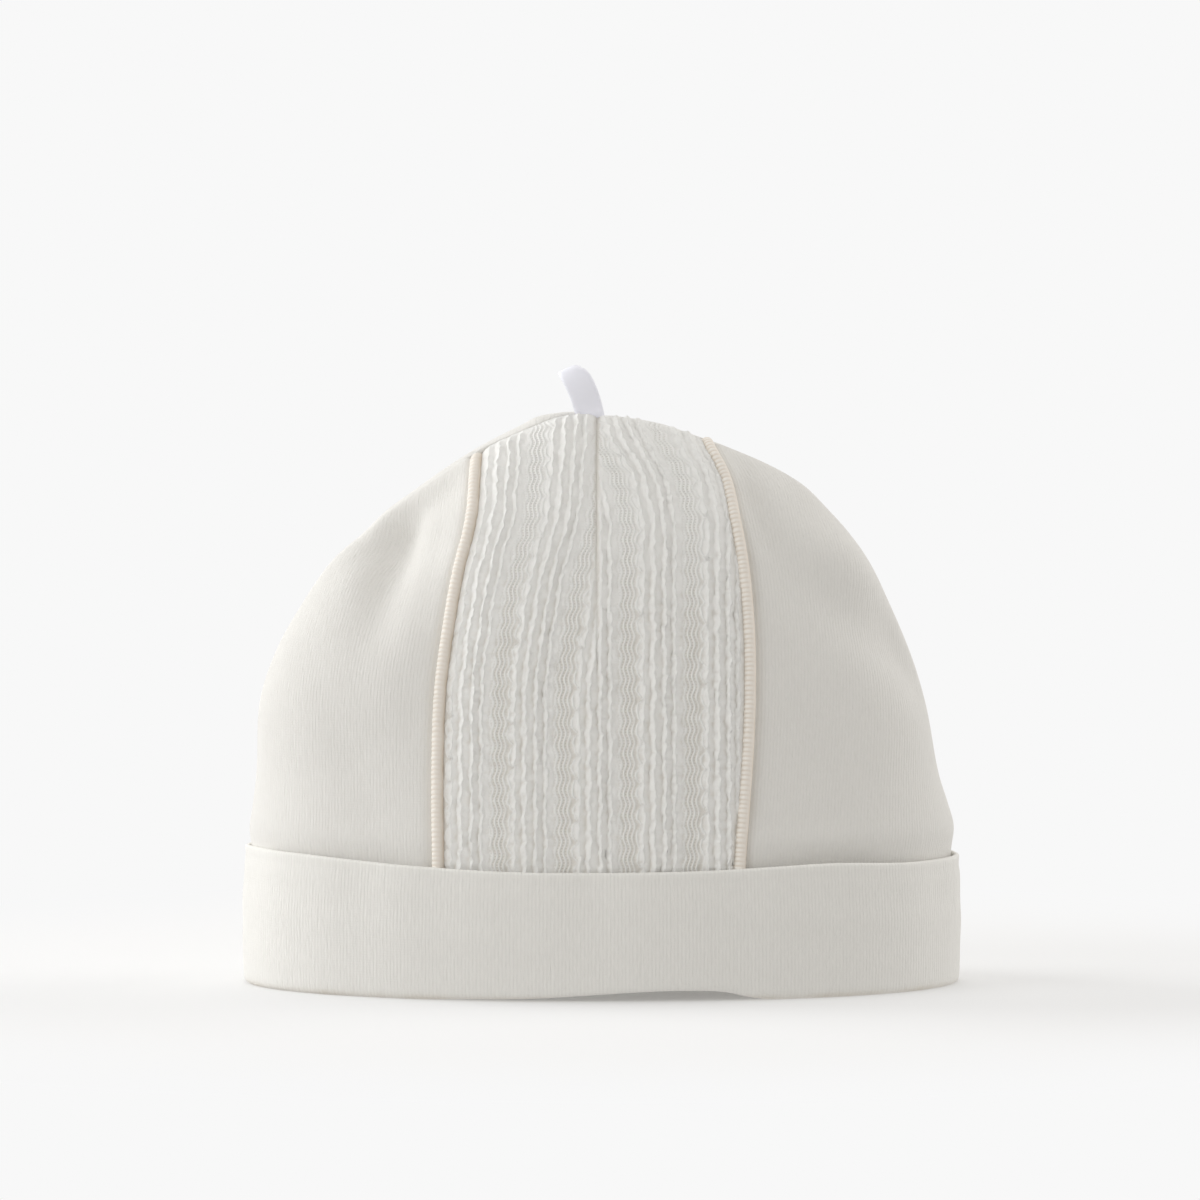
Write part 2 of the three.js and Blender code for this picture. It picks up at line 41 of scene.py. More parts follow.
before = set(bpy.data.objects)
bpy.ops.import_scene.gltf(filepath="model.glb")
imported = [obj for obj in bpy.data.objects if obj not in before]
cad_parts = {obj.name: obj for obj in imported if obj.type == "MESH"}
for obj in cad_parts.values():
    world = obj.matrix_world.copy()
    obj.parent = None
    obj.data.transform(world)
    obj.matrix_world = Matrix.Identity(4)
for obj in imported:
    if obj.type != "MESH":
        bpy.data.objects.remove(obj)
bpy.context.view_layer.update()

MM = 0.001
BODY = "root"
TUCK_SHARE = 0.3  # how far a panel's edge runs under the cord, as a share of the cord's diameter
CUFF_LOW, CUFF_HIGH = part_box("cuff")
PANEL_LOW, PANEL_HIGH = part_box("crown_back_panel")


def table(columns, *rows):
    """A table with named columns, as one dictionary for each row."""
    return [dict(zip(columns.split(), row)) for row in rows]


# Horizontal sections of the crown, from its top down. height is a share of the crown's height. left, right
# and centre are shares of its half width from the middle, and front and back are shares of its half depth.
SECTIONS = table(
    "height left right centre front back",
    (1.0, 0.052, -0.052, -0.052, 0.0, 0.0),
    (0.993, 0.17, 0.03, -0.05, 0.1, 0.1),
    (0.98, 0.215, 0.158, -0.04, 0.17, 0.168),
    (0.959, 0.282, 0.262, -0.03, 0.242, 0.238),
    (0.938, 0.346, 0.362, -0.02, 0.298, 0.29),
    (0.916, 0.406, 0.446, -0.01, 0.345, 0.333),
    (0.874, 0.51, 0.566, 0.0, 0.422, 0.404),
    (0.833, 0.613, 0.636, 0.0, 0.5, 0.478),
    (0.791, 0.682, 0.7, 0.0, 0.56, 0.536),
    (0.748, 0.763, 0.753, 0.0, 0.614, 0.59),
    (0.665, 0.861, 0.829, 0.0, 0.702, 0.68),
    (0.581, 0.934, 0.888, 0.0, 0.776, 0.755),
    (0.498, 0.976, 0.926, 0.0, 0.836, 0.82),
    (0.372, 0.986, 0.963, 0.0, 0.912, 0.902),
    (0.29, 1.0, 1.0, 0.0, 0.952, 0.946),
    (0.22, 1.0, 1.0, 0.0, 0.98, 0.977),
    (0.11, 1.0, 1.0, 0.0, 0.997, 0.997),
    (0.0, 1.0, 1.0, 0.0, 1.0, 1.0),
)

# Where the two piping lines run on the front, as shares of the crown's height and half width.
PIPING_LINES = table(
    "height left right",
    (0.0, -0.46, 0.378),
    (0.24, -0.46, 0.39),
    (0.335, -0.463, 0.402),
    (0.44, -0.464, 0.415),
    (0.54, -0.459, 0.421),
    (0.64, -0.439, 0.419),
    (0.735, -0.411, 0.405),
    (0.83, -0.368, 0.376),
    (0.9, -0.357, 0.348),
    (0.95, -0.35, 0.299),
    (1.0, -0.345, 0.26),
)

# The ear-to-ear seam wanders off the ridge: across is a share of the half width, forward of the half depth.
SEAM_DRIFT = table(
    "across forward",
    (-0.62, 0.0),
    (-0.35, 0.07),
    (-0.2, 0.1),
    (-0.05, 0.045),
    (0.06, 0.015),
    (0.2, 0.0),
    (0.34, -0.02),
    (0.5, 0.0),
)

# The cuff's upper fold waves a little. angle goes round the cap: 0 right, 90 back, 180 left, 270 front.
# height is a share of the cuff's.
CUFF_RIM = table(
    "angle height",
    (0, 0.985),
    (60, 1.0),
    (120, 1.015),
    (170, 1.05),
    (212, 1.055),
    (237, 1.005),
    (256, 0.972),
    (285, 0.978),
    (310, 1.01),
    (328, 0.985),
    (360, 0.985),
)

DARTS = {"front": {"across": -0.013, "foot": 0.65}, "back": {"across": 0.0, "foot": 0.65}}

# The hem arches off the floor in front. lift is a share of the hem's greatest lift, angle as for the rim.
HEM_ARCH = table(
    "angle lift",
    (0, 0),
    (230, 0),
    (238, 0),
    (248, 0.12),
    (258, 0.24),
    (268, 0.6),
    (276, 0.9),
    (283, 1),
    (290, 0.82),
    (295, 0.22),
    (299, 0),
    (305, 0),
    (360, 0),
)

# Soft dents, and swells where depth is negative. across, wide and long are shares of the half width, height
# of the crown's height, and depth of the panel's wall. lean is in degrees to the right of upright.
DENTS = table(
    "face across height wide long lean depth",
    ("front", -0.6, 0.81, 0.05, 0.17, 11, 4.6),
    ("front", -0.65, 0.79, 0.1, 0.2, 15, 2.2),
    ("front", -0.49, 0.8, 0.05, 0.15, 16, 1.8),
    ("front", -0.46, 0.63, 0.08, 0.28, 4, 1.6),
    ("front", -0.68, 0.31, 0.1, 0.28, 0, 0.8),
    ("front", 0.42, 0.87, 0.035, 0.12, -22, 1.5),
    ("front", 0.61, 0.46, 0.12, 0.5, -6, 2.0),
    ("front", 0.82, 0.63, 0.065, 0.18, -46, 2.7),
    ("front", 0.72, 0.73, 0.055, 0.13, -50, -2.3),
    ("back", 0.5, 0.74, 0.05, 0.16, -14, 0.9),
    ("back", -0.46, 0.7, 0.06, 0.19, 12, 0.8),
)

# The soft pleats in one repeat of the centre panel's knit. Each rises from its left edge to its crest and
# falls to its right edge, at shares of the repeat from a zigzag band's middle. height is a share of a rib's.
PLEATS = table(
    "left crest right height",
    (0.25, 0.262, 0.355, 0.62),
    (0.355, 0.435, 0.545, 0.85),
    (0.545, 0.605, 0.695, 1.0),
    (0.695, 0.755, 0.865, 0.78),
)
ZIGZAG_LINES = [-1.5, -0.5, 0.5, 1.5]  # places of the band's fine lines, in their own spacing

# Gentle ripples round the cuff's outer leg: size in millimetres, waves in one turn, and start in radians.
RIPPLES = table(
    "size waves start",
    (0.22, 9, 0.7),
    (0.18, 14, 2.1),
    (0.12, 23, 4.0),
)


def linear(code):
    """A linear colour from an sRGB hex value."""
    channels = [int(code[i : i + 2], 16) / 255 for i in (0, 2, 4)]
    return [c / 12.92 if c <= 0.04045 else ((c + 0.055) / 1.055) ** 2.4 for c in channels]


def length_value(name, description, value):
    return bpy.props.FloatProperty(name=name, description=description, default=value, min=0, unit="LENGTH")


def colour_value(name, description, code):
    return bpy.props.FloatVectorProperty(
        name=name, description=description, default=linear(code), size=3, min=0, max=1, subtype="COLOR"
    )


def number_value(name, description, value):
    return bpy.props.FloatProperty(name=name, description=description, default=value)


class NightcapSizes(bpy.types.PropertyGroup):
    """Real sizes of the cap, taken from the frame or given in metres."""

    cap_width: length_value("Cap width", "Across the cuff, side to side", CUFF_HIGH[0] - CUFF_LOW[0])
    cap_depth: length_value("Cap depth", "Across the cuff, front to back", CUFF_HIGH[1] - CUFF_LOW[1])
    crown_height: length_value("Crown height", "Floor to the top of the crown", PANEL_HIGH[2] + 0.06 * MM)
    crown_base: length_value("Crown base", "Floor to the crown's lower edge, inside the cuff", PANEL_LOW[2])
    cuff_height: length_value("Cuff height", "Floor to the cuff's upper fold, on average", 29 * MM)
    panel_wall: length_value("Panel wall", "Thickness of the crown's cloth", 1.2 * MM)
    cuff_wall: length_value("Cuff wall", "Thickness of the cuff's doubled cloth", 1.2 * MM)
    side_ease: length_value("Side ease", "Air between cuff and crown at the sides", 0.5 * MM)
    front_ease: length_value("Front ease", "Air between cuff and crown at the front and back", 1.3 * MM)
    hem_cloth: length_value("Hem cloth", "Cloth under the slot between the cuff's legs", 1.6 * MM)
    hem_lift: length_value("Hem lift", "How far the hem arches off the floor in front", 2.3 * MM)
    piping_diameter: length_value("Piping diameter", "Thickness of the covered cord", 2.75 * MM)
    piping_sink: length_value("Piping sink", "Depth of the cord's middle under the jersey", 0.3 * MM)
    seam_roll: length_value("Seam roll", "How deep the cloth rolls into a seam at a cord", 0.9 * MM)
    ridge_roll: length_value("Ridge roll", "How deep the cloth rolls into the ear-to-ear seam", 0.25 * MM)
    puff: length_value("Puff", "How far the crown's top swells over the plain form", 1.15 * MM)
    seam_width: length_value("Seam width", "How wide the roll into a seam is", 1.5 * MM)
    dart_depth: length_value("Dart depth", "Depth of the groove along the dart's seam", 0.8 * MM)
    ribbon_width: length_value("Ribbon width", "Width of the hanging loop's ribbon", 6.35 * MM)
    ribbon_wall: length_value("Ribbon wall", "Thickness of the ribbon", 0.45 * MM)
    loop_height: length_value("Loop height", "Height of the loop over the crown", 10.9 * MM)
    loop_thickness: length_value("Loop thickness", "Greatest thickness of the folded loop", 4.6 * MM)


class NightcapKnit(bpy.types.PropertyGroup):
    """Sizes of the knit's stitches and ribs, in metres."""

    repeat: length_value("Rib repeat", "Width of one repeat of the centre panel's knit", 14.0 * MM)
    first_band: length_value("First zigzag band", "From the left seam to the first band's middle", 12.4 * MM)
    rib_height: length_value("Rib height", "How far a pleat stands proud", 1.12 * MM)
    pebble_height: length_value("Pebble height", "Unevenness of the knit between its lines", 0.12 * MM)
    hole_pitch: length_value("Hole pitch", "Spacing of the tiny holes up the zigzag bands", 0.62 * MM)
    zigzag_pitch: length_value("Zigzag pitch", "Spacing of the fine zigzag lines", 0.92 * MM)
    zigzag_height: length_value("Zigzag height", "How far the zigzag lines stand proud", 0.21 * MM)
    zigzag_reach: length_value("Zigzag reach", "How far the lines swing from side to side", 0.62 * MM)
    scallop_length: length_value("Scallop length", "Height of one scallop and one zigzag", 4.7 * MM)
    scallop_reach: length_value("Scallop reach", "How far a scallop bulges", 1.35 * MM)
    wale: length_value("Wale", "Spacing of the jersey's upright rows of loops", 0.8 * MM)
    course: length_value("Course", "Spacing of the jersey's rows of loops up the cloth", 0.55 * MM)
    piping_pitch: length_value("Piping pitch", "Spacing of the stitches over the cord", 1.05 * MM)
    float_pitch: length_value("Float pitch", "Spacing of the satin ribbon's raised threads", 0.22 * MM)


class NightcapColours(bpy.types.PropertyGroup):
    """Colours of the cloths and of the stage."""

    jersey: colour_value("Jersey", "Interlock cotton", "eeece7")
    # The doubled colour is partly the denser doubled cloth and partly a painted highlight along the cuff's
    # rolled lip.
    doubled: colour_value("Doubled jersey", "The same cotton in the cuff, denser in two layers", "f9f7f1")
    # The hem colour is painted shade, for where the hem turns under onto the floor.
    hem_shade: colour_value("Hem edge", "Rubbed cotton along the fold that the cap stands on", "d8d0c2")
    knit: colour_value("Ribbed knit", "Textured cotton knit", "fffefa")
    # The groove colour is painted shade, for where the knit lies deep and for its holes.
    knit_groove_shade: colour_value("Ribbed knit groove", "Ground between the ribs", "ece8e0")
    piping: colour_value("Piping", "Cream covered cord", "f2ebe2")
    piping_thread: colour_value("Piping thread", "Paler stitches over the cord", "fcf9f3")
    piping_gap: colour_value("Piping gap", "Cord seen in shade between the stitches", "c8b499")
    satin: colour_value("Satin", "Cool white ribbon", "f8f8ff")
    paper: colour_value("Paper", "Pale sweep that the cap stands on", "f8f8f8")


# Curves and small tools


def smooth_curve(rows, key, column):
    """A smooth curve through one named column of a table, as a function of its key column."""
    knots = np.array([row[key] for row in rows], float)
    values = np.array([row[column] for row in rows], float)
    secants = np.diff(values) / np.diff(knots)
    slopes = np.concatenate((secants[:1], (secants[1:] + secants[:-1]) / 2, secants[-1:]))

    def at(x):
        x = np.clip(x, knots[0], knots[-1])
        i = np.clip(np.searchsorted(knots, x, side="right") - 1, 0, len(secants) - 1)
        width = knots[i + 1] - knots[i]
        rise = values[i + 1] - values[i]
        t = (x - knots[i]) / width
        start = slopes[i] * width - rise
        end = rise - slopes[i + 1] * width
        return values[i] + t * rise + t * (1 - t) * ((1 - t) * start + t * end)

    return at


def solve(low, high, excess):
    """Where steadily changing functions cross zero, one for each entry of low and high."""
    low = np.array(low, float)
    high = np.array(high, float)
    rising = excess(high) > excess(low)
    for _ in range(40):
        middle = (low + high) / 2
        beyond = (excess(middle) > 0) == rising
        high = np.where(beyond, middle, high)
        low = np.where(beyond, low, middle)
    return (low + high) / 2


def wander(distance, wavelength, seed):
    """A smooth irregular wave between about -1 and 1, the same for the same seed."""
    phases = np.random.default_rng(seed).uniform(0, 2 * math.pi, 3)
    waves = [
        np.sin(2 * math.pi * distance * pace / wavelength + phase) / pace
        for pace, phase in zip((1.0, 1.87, 3.31), phases)
    ]
    return sum(waves) / 1.6


def roam(distance, *waves):
    """Several irregular waves together, each with a size, a wavelength in millimetres and a seed."""
    return sum(size * wander(distance, wavelength * MM, seed) for size, wavelength, seed in waves)


def cloth_noise(u, v, cell_u, cell_v, seed):
    """Smooth random bumps between about -1 and 1 over a cloth, with cells of the given size."""
    across = (u - u.min()) / cell_u
    up = (v - v.min()) / cell_v
    i = np.floor(across).astype(int)
    j = np.floor(up).astype(int)
    values = np.random.default_rng(seed).uniform(-1, 1, (i.max() + 2, j.max() + 2))
    s = across - i
    t = up - j
    s = s * s * (3 - 2 * s)
    t = t * t * (3 - 2 * t)
    low = values[i, j] * (1 - s) + values[i + 1, j] * s
    high = values[i, j + 1] * (1 - s) + values[i + 1, j + 1] * s
    return low * (1 - t) + high * t


def bell(distance, width):
    return np.exp(-((distance / width) ** 2))


def unit(vectors):
    return vectors / np.maximum(np.linalg.norm(vectors, axis=-1, keepdims=True), 1e-12)


def grid_normals(points):
    """Outward unit normals of a grid of surface points."""
    normals = unit(np.cross(np.gradient(points, axis=0), np.gradient(points, axis=1)))
    outwards = points * [1, 1, 0.3]
    if np.sum(normals * outwards) < 0:
        normals = -normals
    return normals


def arc_length(points, axis):
    """Distance travelled over a grid of points along one of its axes, from the first row."""
    steps = np.linalg.norm(np.diff(points, axis=axis), axis=-1)
    start = np.zeros_like(np.take(steps, [0], axis=axis))
    return np.concatenate((start, np.cumsum(steps, axis=axis)), axis=axis)


# The crown's form


class CrownForm:
    """The crown's outer surface, as horizontal sections through the table of shares."""

    def __init__(self, sizes):
        self.sizes = sizes
        self.height = sizes.crown_height
        self.base = sizes.crown_base
        self.half_width = sizes.cap_width / 2 - sizes.cuff_wall - sizes.side_ease
        self.half_depth = sizes.cap_depth / 2 - sizes.cuff_wall - sizes.front_ease
        # A dome's width grows with the square root of the way down from its top.
        rows = [{**row, "drop": math.sqrt(1 - row["height"])} for row in SECTIONS]
        names = ("centre", "left", "right", "front", "back")
        self.shares = {name: smooth_curve(rows, "drop", name) for name in names}
        self.lines = {side: smooth_curve(PIPING_LINES, "height", side) for side in ("left", "right")}
        self.drift = smooth_curve(SEAM_DRIFT, "across", "forward")

    def section(self, z):
        """The middle at height z, the half widths left and right, and the half depths front and back."""
        drop = np.sqrt(np.clip(1 - z / self.height, 0, 1))
        share = {name: curve(drop) for name, curve in self.shares.items()}
        centre = share["centre"] * self.half_width
        left = np.maximum(share["left"] * self.half_width + centre, 1e-6)
        right = np.maximum(share["right"] * self.half_width - centre, 1e-6)
        front = np.maximum(share["front"] * self.half_depth, 1e-6)
        back = np.maximum(share["back"] * self.half_depth, 1e-6)
        return centre, left, right, front, back

    def piping_x(self, side, z):
        return self.lines[side](z / self.height) * self.half_width

    def seam_forward(self, x):
        return self.drift(x / self.half_width) * self.half_depth

    def dart_x(self, face):
        return DARTS[face]["across"] * self.half_width

    def dart_share(self, face, z):
        foot = DARTS[face]["foot"]
        return np.clip((z / self.height - foot) / (1 - foot), 0, 1)

    def ring_point(self, z, angle):
        """A point at height z and an angle: 0 right, 90 back, 180 left, 270 front, in radians."""
        centre, left, right, front, back = self.section(z)
        across = np.cos(angle)
        along = np.sin(angle)
        x = centre + across * np.where(across < 0, left, right)
        y = along * np.where(along < 0, front, back)
        return np.stack([x, y, z + 0 * x], axis=-1)

    def place(self, points, z):
        """Where points lie across and along the section at height z, as shares, and its half sizes there."""
        centre, left, right, front, back = self.section(z)
        across = points[..., 0] - centre
        wide = np.where(across < 0, left, right)
        deep = np.where(points[..., 1] < 0, front, back)
        return across / wide, points[..., 1] / deep, wide, deep

    def ring_angle(self, points):
        across, along, _, _ = self.place(points, points[..., 2])
        return np.mod(np.arctan2(along, across), 2 * math.pi)

    def normal(self, points):
        """Outward normals, from the gradient of the section's equation."""

        def level(z):
            across, along, _, _ = self.place(points, z)
            return across * across + along * along

        z = points[..., 2]
        across, along, wide, deep = self.place(points, z)
        step = np.minimum(self.height / 1000, (self.height - z) / 4)
        slope = (level(z + step) - level(z - step)) / (2 * step)
        return unit(np.stack([2 * across / wide, 2 * along / deep, slope], axis=-1))

    def ridge_height(self, line_x, count):
        """Where upright lines, given as x at each height, reach the crown's ridge."""

        def room(z):
            centre, left, right, _, _ = self.section(z)
            across = line_x(z) - centre
            return np.where(across < 0, left, right) - np.abs(across)

        return solve(np.full((count, 1), self.base), np.full((count, 1), self.height), room)

    def over_top(self, line_x, top, turn):
        """Follows upright lines from the front hem (turn 0) over the ridge to the back hem (turn 180)."""
        z = self.base + (top - self.base) * np.minimum(np.sin(turn), 0.999999)
        centre, left, right, front, back = self.section(z)
        x = line_x(z)
        across = x - centre
        share = np.minimum(1, np.abs(across) / np.where(across < 0, left, right))
        rise = np.sqrt(1 - share * share)
        y = np.where(turn < math.pi / 2, -front, back) * rise
        return np.stack([x, y, z], axis=-1)

    def cloth_lines(self, line_x, count, face, shares, edge=0.0):
        """A grid of points on upright lines of cloth, at shares of the way from the hem to the seam."""
        top = self.ridge_height(line_x, count)

        def past_seam(turn):
            points = self.over_top(line_x, top, turn)
            return points[..., 1] + self.seam_forward(points[..., 0]) - edge

        end = solve(np.zeros((count, 1)), np.full((count, 1), math.pi), past_seam)
        start = 0.0 if face == "front" else math.pi
        return self.over_top(line_x, top, start + (end - start) * np.asarray(shares)[None, :])

    def even_shares(self, line_x, face, rows):
        """Shares up a line of cloth that lie evenly along its length."""
        fine = np.linspace(0, 1, 400)
        way = arc_length(self.cloth_lines(line_x, 1, face, fine), axis=1)[0]
        return np.interp(np.linspace(0, way[-1], rows + 1), way, fine)

    def side_patch(self, side, line_x, face, across, up):
        """A grid between the ear-to-ear seam at one side and an upright line, for shares across and up."""
        tip_width = self.sizes.panel_wall

        def room(z):
            centre, left, right, _, _ = self.section(z)
            return (left if side == "left" else right) - np.abs(line_x(z) - centre) - tip_width

        tip = solve(np.array([self.base]), np.array([self.height]), room)[0]
        side_angle = math.pi if side == "left" else (2 * math.pi if face == "front" else 0.0)
        sign = 1 if (face == "front") == (side == "left") else -1
        on_line = self.cloth_lines(line_x, 1, face, up)[0]
        seam_z = self.base + (tip - self.base) * np.sin(np.asarray(up) * math.pi / 2)
        centre, left, right, front, back = self.section(seam_z)
        seam_x = centre - left if side == "left" else centre + right
        seam_y = -self.seam_forward(seam_x)
        offset = np.arcsin(np.clip(np.abs(seam_y) / np.where(seam_y < 0, front, back), 0, 1))
        start = side_angle + np.where((seam_y < 0) == (face == "front"), sign, -sign) * offset
        end = self.ring_angle(on_line)
        end = end + 2 * math.pi * np.round((start - end) / (2 * math.pi))
        across = np.asarray(across)[:, None]
        z = seam_z[None, :] * (1 - across) + on_line[None, :, 2] * across
        angle = start[None, :] * (1 - across) + end[None, :] * across
        return self.ring_point(z, angle)

    def puff(self, points):
        """How far the cloth swells outwards, more towards the top."""
        share = np.clip((points[..., 2] / self.height - 0.66) / 0.22, 0, 1)
        return self.sizes.puff * share * share * (3 - 2 * share)

    def dent_depth(self, points, face):
        """How far dents press the cloth in, less where it swells."""
        total = -self.puff(points)
        for dent in DENTS:
            if dent["face"] != face:
                continue
            lean = math.radians(dent["lean"])
            dx = points[..., 0] - dent["across"] * self.half_width
            dz = points[..., 2] - dent["height"] * self.height
            wide = (dx * math.cos(lean) - dz * math.sin(lean)) / (dent["wide"] * self.half_width)
            long = (dx * math.sin(lean) + dz * math.cos(lean)) / (dent["long"] * self.half_width)
            total += dent["depth"] * self.sizes.panel_wall * np.exp(-(wide * wide + long * long) / 2)
        return total


# Meshes


def fan_strip(outer, inner, fold, turned):
    """Triangles between a dense row of vertices and a row with one vertex for every fold of them."""
    outer, inner = outer.tolist(), inner.tolist()
    triangles = []
    for k in range(len(inner) - 1):
        dense = outer[k * fold : (k + 1) * fold + 1]
        middle = (fold + 1) // 2
        for i in range(fold):
            triangles.append((dense[i + 1], dense[i], inner[k] if i < middle else inner[k + 1]))
        triangles.append((dense[middle], inner[k], inner[k + 1]))
    return [triangle[::-1] for triangle in triangles] if turned else triangles


def quads(corners, turned=False):
    """Faces from arrays of their four corners, turned over where that is asked."""
    rows = np.stack(corners[::-1] if turned else corners, axis=-1).reshape(-1, 4)
    return [tuple(row) for row in rows.tolist()]


def grid_quads(index, turned=False):
    """Faces between the neighbours in a grid of vertex numbers."""
    return quads((index[:-1, :-1], index[1:, :-1], index[1:, 1:], index[:-1, 1:]), turned)


def finish_mesh(name, points, faces, material, uv=None, attributes=None):
    """An object from points and faces, turned so that its faces point outwards."""
    points = np.asarray(points)
    volume = 0.0
    for size in (3, 4):
        group = np.array([face for face in faces if len(face) == size])
        for k in range(1, size - 1):
            if len(group):
                a, b, c = points[group[:, 0]], points[group[:, k]], points[group[:, k + 1]]
                volume += float(np.sum(a * np.cross(b, c)))
    if volume < 0:
        faces = [tuple(reversed(face)) for face in faces]
    mesh = bpy.data.meshes.new(name)
    mesh.from_pydata(points.tolist(), [], faces)
    if uv is not None:
        corners = np.empty(len(mesh.loops), dtype=np.int32)
        mesh.loops.foreach_get("vertex_index", corners)
        layer = mesh.uv_layers.new(name="cloth")
        layer.data.foreach_set("uv", np.asarray(uv, dtype=np.float32)[corners].ravel())
    for label, values in (attributes or {}).items():
        attribute = mesh.attributes.new(name=label, type="FLOAT", domain="POINT")
        attribute.data.foreach_set("value", np.asarray(values, dtype=np.float32))
    mesh.polygons.foreach_set("use_smooth", [True] * len(mesh.polygons))
    mesh.validate()
    mesh.update()
    mesh.materials.append(material)
    piece = bpy.data.objects.new(name, mesh)
    bpy.context.collection.objects.link(piece)
    return piece


def cloth_shell(name, outer, wall, fold, material, uv, attributes=None):
    """A closed piece of cloth: a dense outside, a plainer inside a wall's thickness below, and its edges."""
    normals = grid_normals(outer)
    inner = (outer - wall * normals)[::fold, ::fold]
    columns, rows = outer.shape[:2]
    over = np.arange(columns * rows).reshape(columns, rows)
    under = columns * rows + np.arange(inner.shape[0] * inner.shape[1]).reshape(inner.shape[:2])
    faces = grid_quads(over) + grid_quads(under, turned=True)
    faces += fan_strip(over[:, 0], under[:, 0], fold, False)
    faces += fan_strip(over[:, -1], under[:, -1], fold, True)
    faces += fan_strip(over[0], under[0], fold, True)
    faces += fan_strip(over[-1], under[-1], fold, False)

    def both(values, width):
        values = np.asarray(values).reshape(columns, rows, width)
        return np.concatenate((values.reshape(-1, width), values[::fold, ::fold].reshape(-1, width)))

    points = np.concatenate((outer.reshape(-1, 3), inner.reshape(-1, 3)))
    extra = {label: both(values, 1)[:, 0] for label, values in (attributes or {}).items()}
    return finish_mesh(name, points, faces, material, both(uv, 2), extra)


def tube_mesh(name, centres, radii, outwards, sides, material, attributes):
    """A closed cord along a line of centres, with a grid of radii. outwards is the way its back faces."""
    tangents = unit(np.gradient(centres, axis=0))
    up = unit(outwards - tangents * np.sum(outwards * tangents, axis=-1, keepdims=True))
    across = np.cross(tangents, up)
    angles = np.linspace(0, 2 * math.pi, sides, endpoint=False)
    ring = np.cos(angles)[None, :, None] * across[:, None] + np.sin(angles)[None, :, None] * up[:, None]
    points = centres[:, None] + radii[..., None] * ring
    count = len(centres)
    index = np.arange(count * sides).reshape(count, sides)
    closed = np.concatenate((index, index[:, :1]), axis=1)
    faces = grid_quads(closed)
    first, last = count * sides, count * sides + 1
    for k in range(sides):
        after = (k + 1) % sides
        faces.append((first, int(index[0, k]), int(index[0, after])))
        faces.append((last, int(index[-1, after]), int(index[-1, k])))
    girth = 8 * MM
    way = arc_length(centres[None], axis=1)[0]
    uv = np.stack(np.broadcast_arrays(angles[None, :] / (2 * math.pi) * girth, way[:, None]), axis=-1)
    points = np.concatenate((points.reshape(-1, 3), centres[[0, -1]]))
    uv = np.concatenate((uv.reshape(-1, 2), [[0, way[0]], [0, way[-1]]]))
    extra = {label: np.concatenate((values.ravel(), [0, 0])) for label, values in attributes.items()}
    return finish_mesh(name, points, faces, material, uv, extra)


# Materials


def add_node(tree, kind, settings=None, **links):
    """Adds a node. settings are properties, or socket values by name or number, and links join sockets."""
    node = tree.nodes.new(kind)
    for key, value in (settings or {}).items():
        if isinstance(key, int) or key in node.inputs:
            node.inputs[key].default_value = value
        else:
            setattr(node, key, value)
    for key, source in links.items():
        number = int(key[1:]) if key[0] == "_" else key.replace("_", " ")
        tree.links.new(source, node.inputs[number])
    return node


def calculate(tree, operation, *values):
    """A Math node on values and plain numbers."""
    node = add_node(tree, "ShaderNodeMath", {"operation": operation})
    for number, value in enumerate(values):
        if isinstance(value, Value):
            tree.links.new(value.socket, node.inputs[number])
        else:
            node.inputs[number].default_value = value
    return Value(tree, node.outputs[0])


class Value:
    """A number worked out in a material. Each sum, product or power of it is a Math node."""

    def __init__(self, tree, socket):
        self.tree = tree
        self.socket = socket

    def math(self, operation, *others):
        return calculate(self.tree, operation, self, *others)

    def __add__(self, other):
        return self.math("ADD", other)

    def __sub__(self, other):
        return self.math("SUBTRACT", other)

    def __rsub__(self, other):
        return calculate(self.tree, "SUBTRACT", other, self)

    def __mul__(self, other):
        return self.math("MULTIPLY", other)

    def __truediv__(self, other):
        return self.math("DIVIDE", other)

    def __pow__(self, other):
        return self.math("POWER", other)


def value_node(tree, kind, output, settings, **links):
    """Adds a node and gives one of its outputs as a value."""
    return Value(tree, add_node(tree, kind, settings, **links).outputs[output])


def attribute(tree, name):
    return value_node(tree, "ShaderNodeAttribute", "Fac", {"attribute_name": name})


def noise(tree, scale, detail, roughness, **links):
    settings = {"Scale": scale, "Detail": detail, "Roughness": roughness}
    return value_node(tree, "ShaderNodeTexNoise", "Fac", settings, **links)


def cloth_lengths(tree):
    """Lengths across and up the cloth, in metres."""
    lengths = add_node(tree, "ShaderNodeUVMap", {"uv_map": "cloth"}).outputs[0]
    place = add_node(tree, "ShaderNodeSeparateXYZ", Vector=lengths)
    return Value(tree, place.outputs["X"]), Value(tree, place.outputs["Y"])


def mix(tree, share, first, second):
    """A colour between two, each of them a plain colour or another node's."""
    node = add_node(tree, "ShaderNodeMix", {"data_type": "RGBA"}, _0=share.socket)
    for number, colour in ((6, first), (7, second)):
        if isinstance(colour, bpy.types.NodeSocket):
            tree.links.new(colour, node.inputs[number])
        else:
            node.inputs[number].default_value = (*colour, 1)
    return node.outputs[2]


def start_material(name, settings):
    """A material with one shader, whose constant values are set on its own sockets."""
    material = bpy.data.materials.new(name)
    material.use_nodes = True
    tree = material.node_tree
    tree.nodes.clear()
    shader = add_node(tree, "ShaderNodeBsdfPrincipled", settings)
    output = tree.nodes.new("ShaderNodeOutputMaterial")
    tree.links.new(shader.outputs[0], output.inputs["Surface"])
    return material, tree, shader


def dress(tree, shader, colour, height, distance, strength=1.0):
    """Gives the shader its colour, and a fine relief from a height."""
    settings = {"Strength": strength, "Distance": distance}
    bump = add_node(tree, "ShaderNodeBump", settings, Height=height.socket)
    tree.links.new(colour, shader.inputs["Base Color"])
    tree.links.new(bump.outputs[0], shader.inputs["Normal"])


def darker(colour, share):
    return [channel * share for channel in colour]


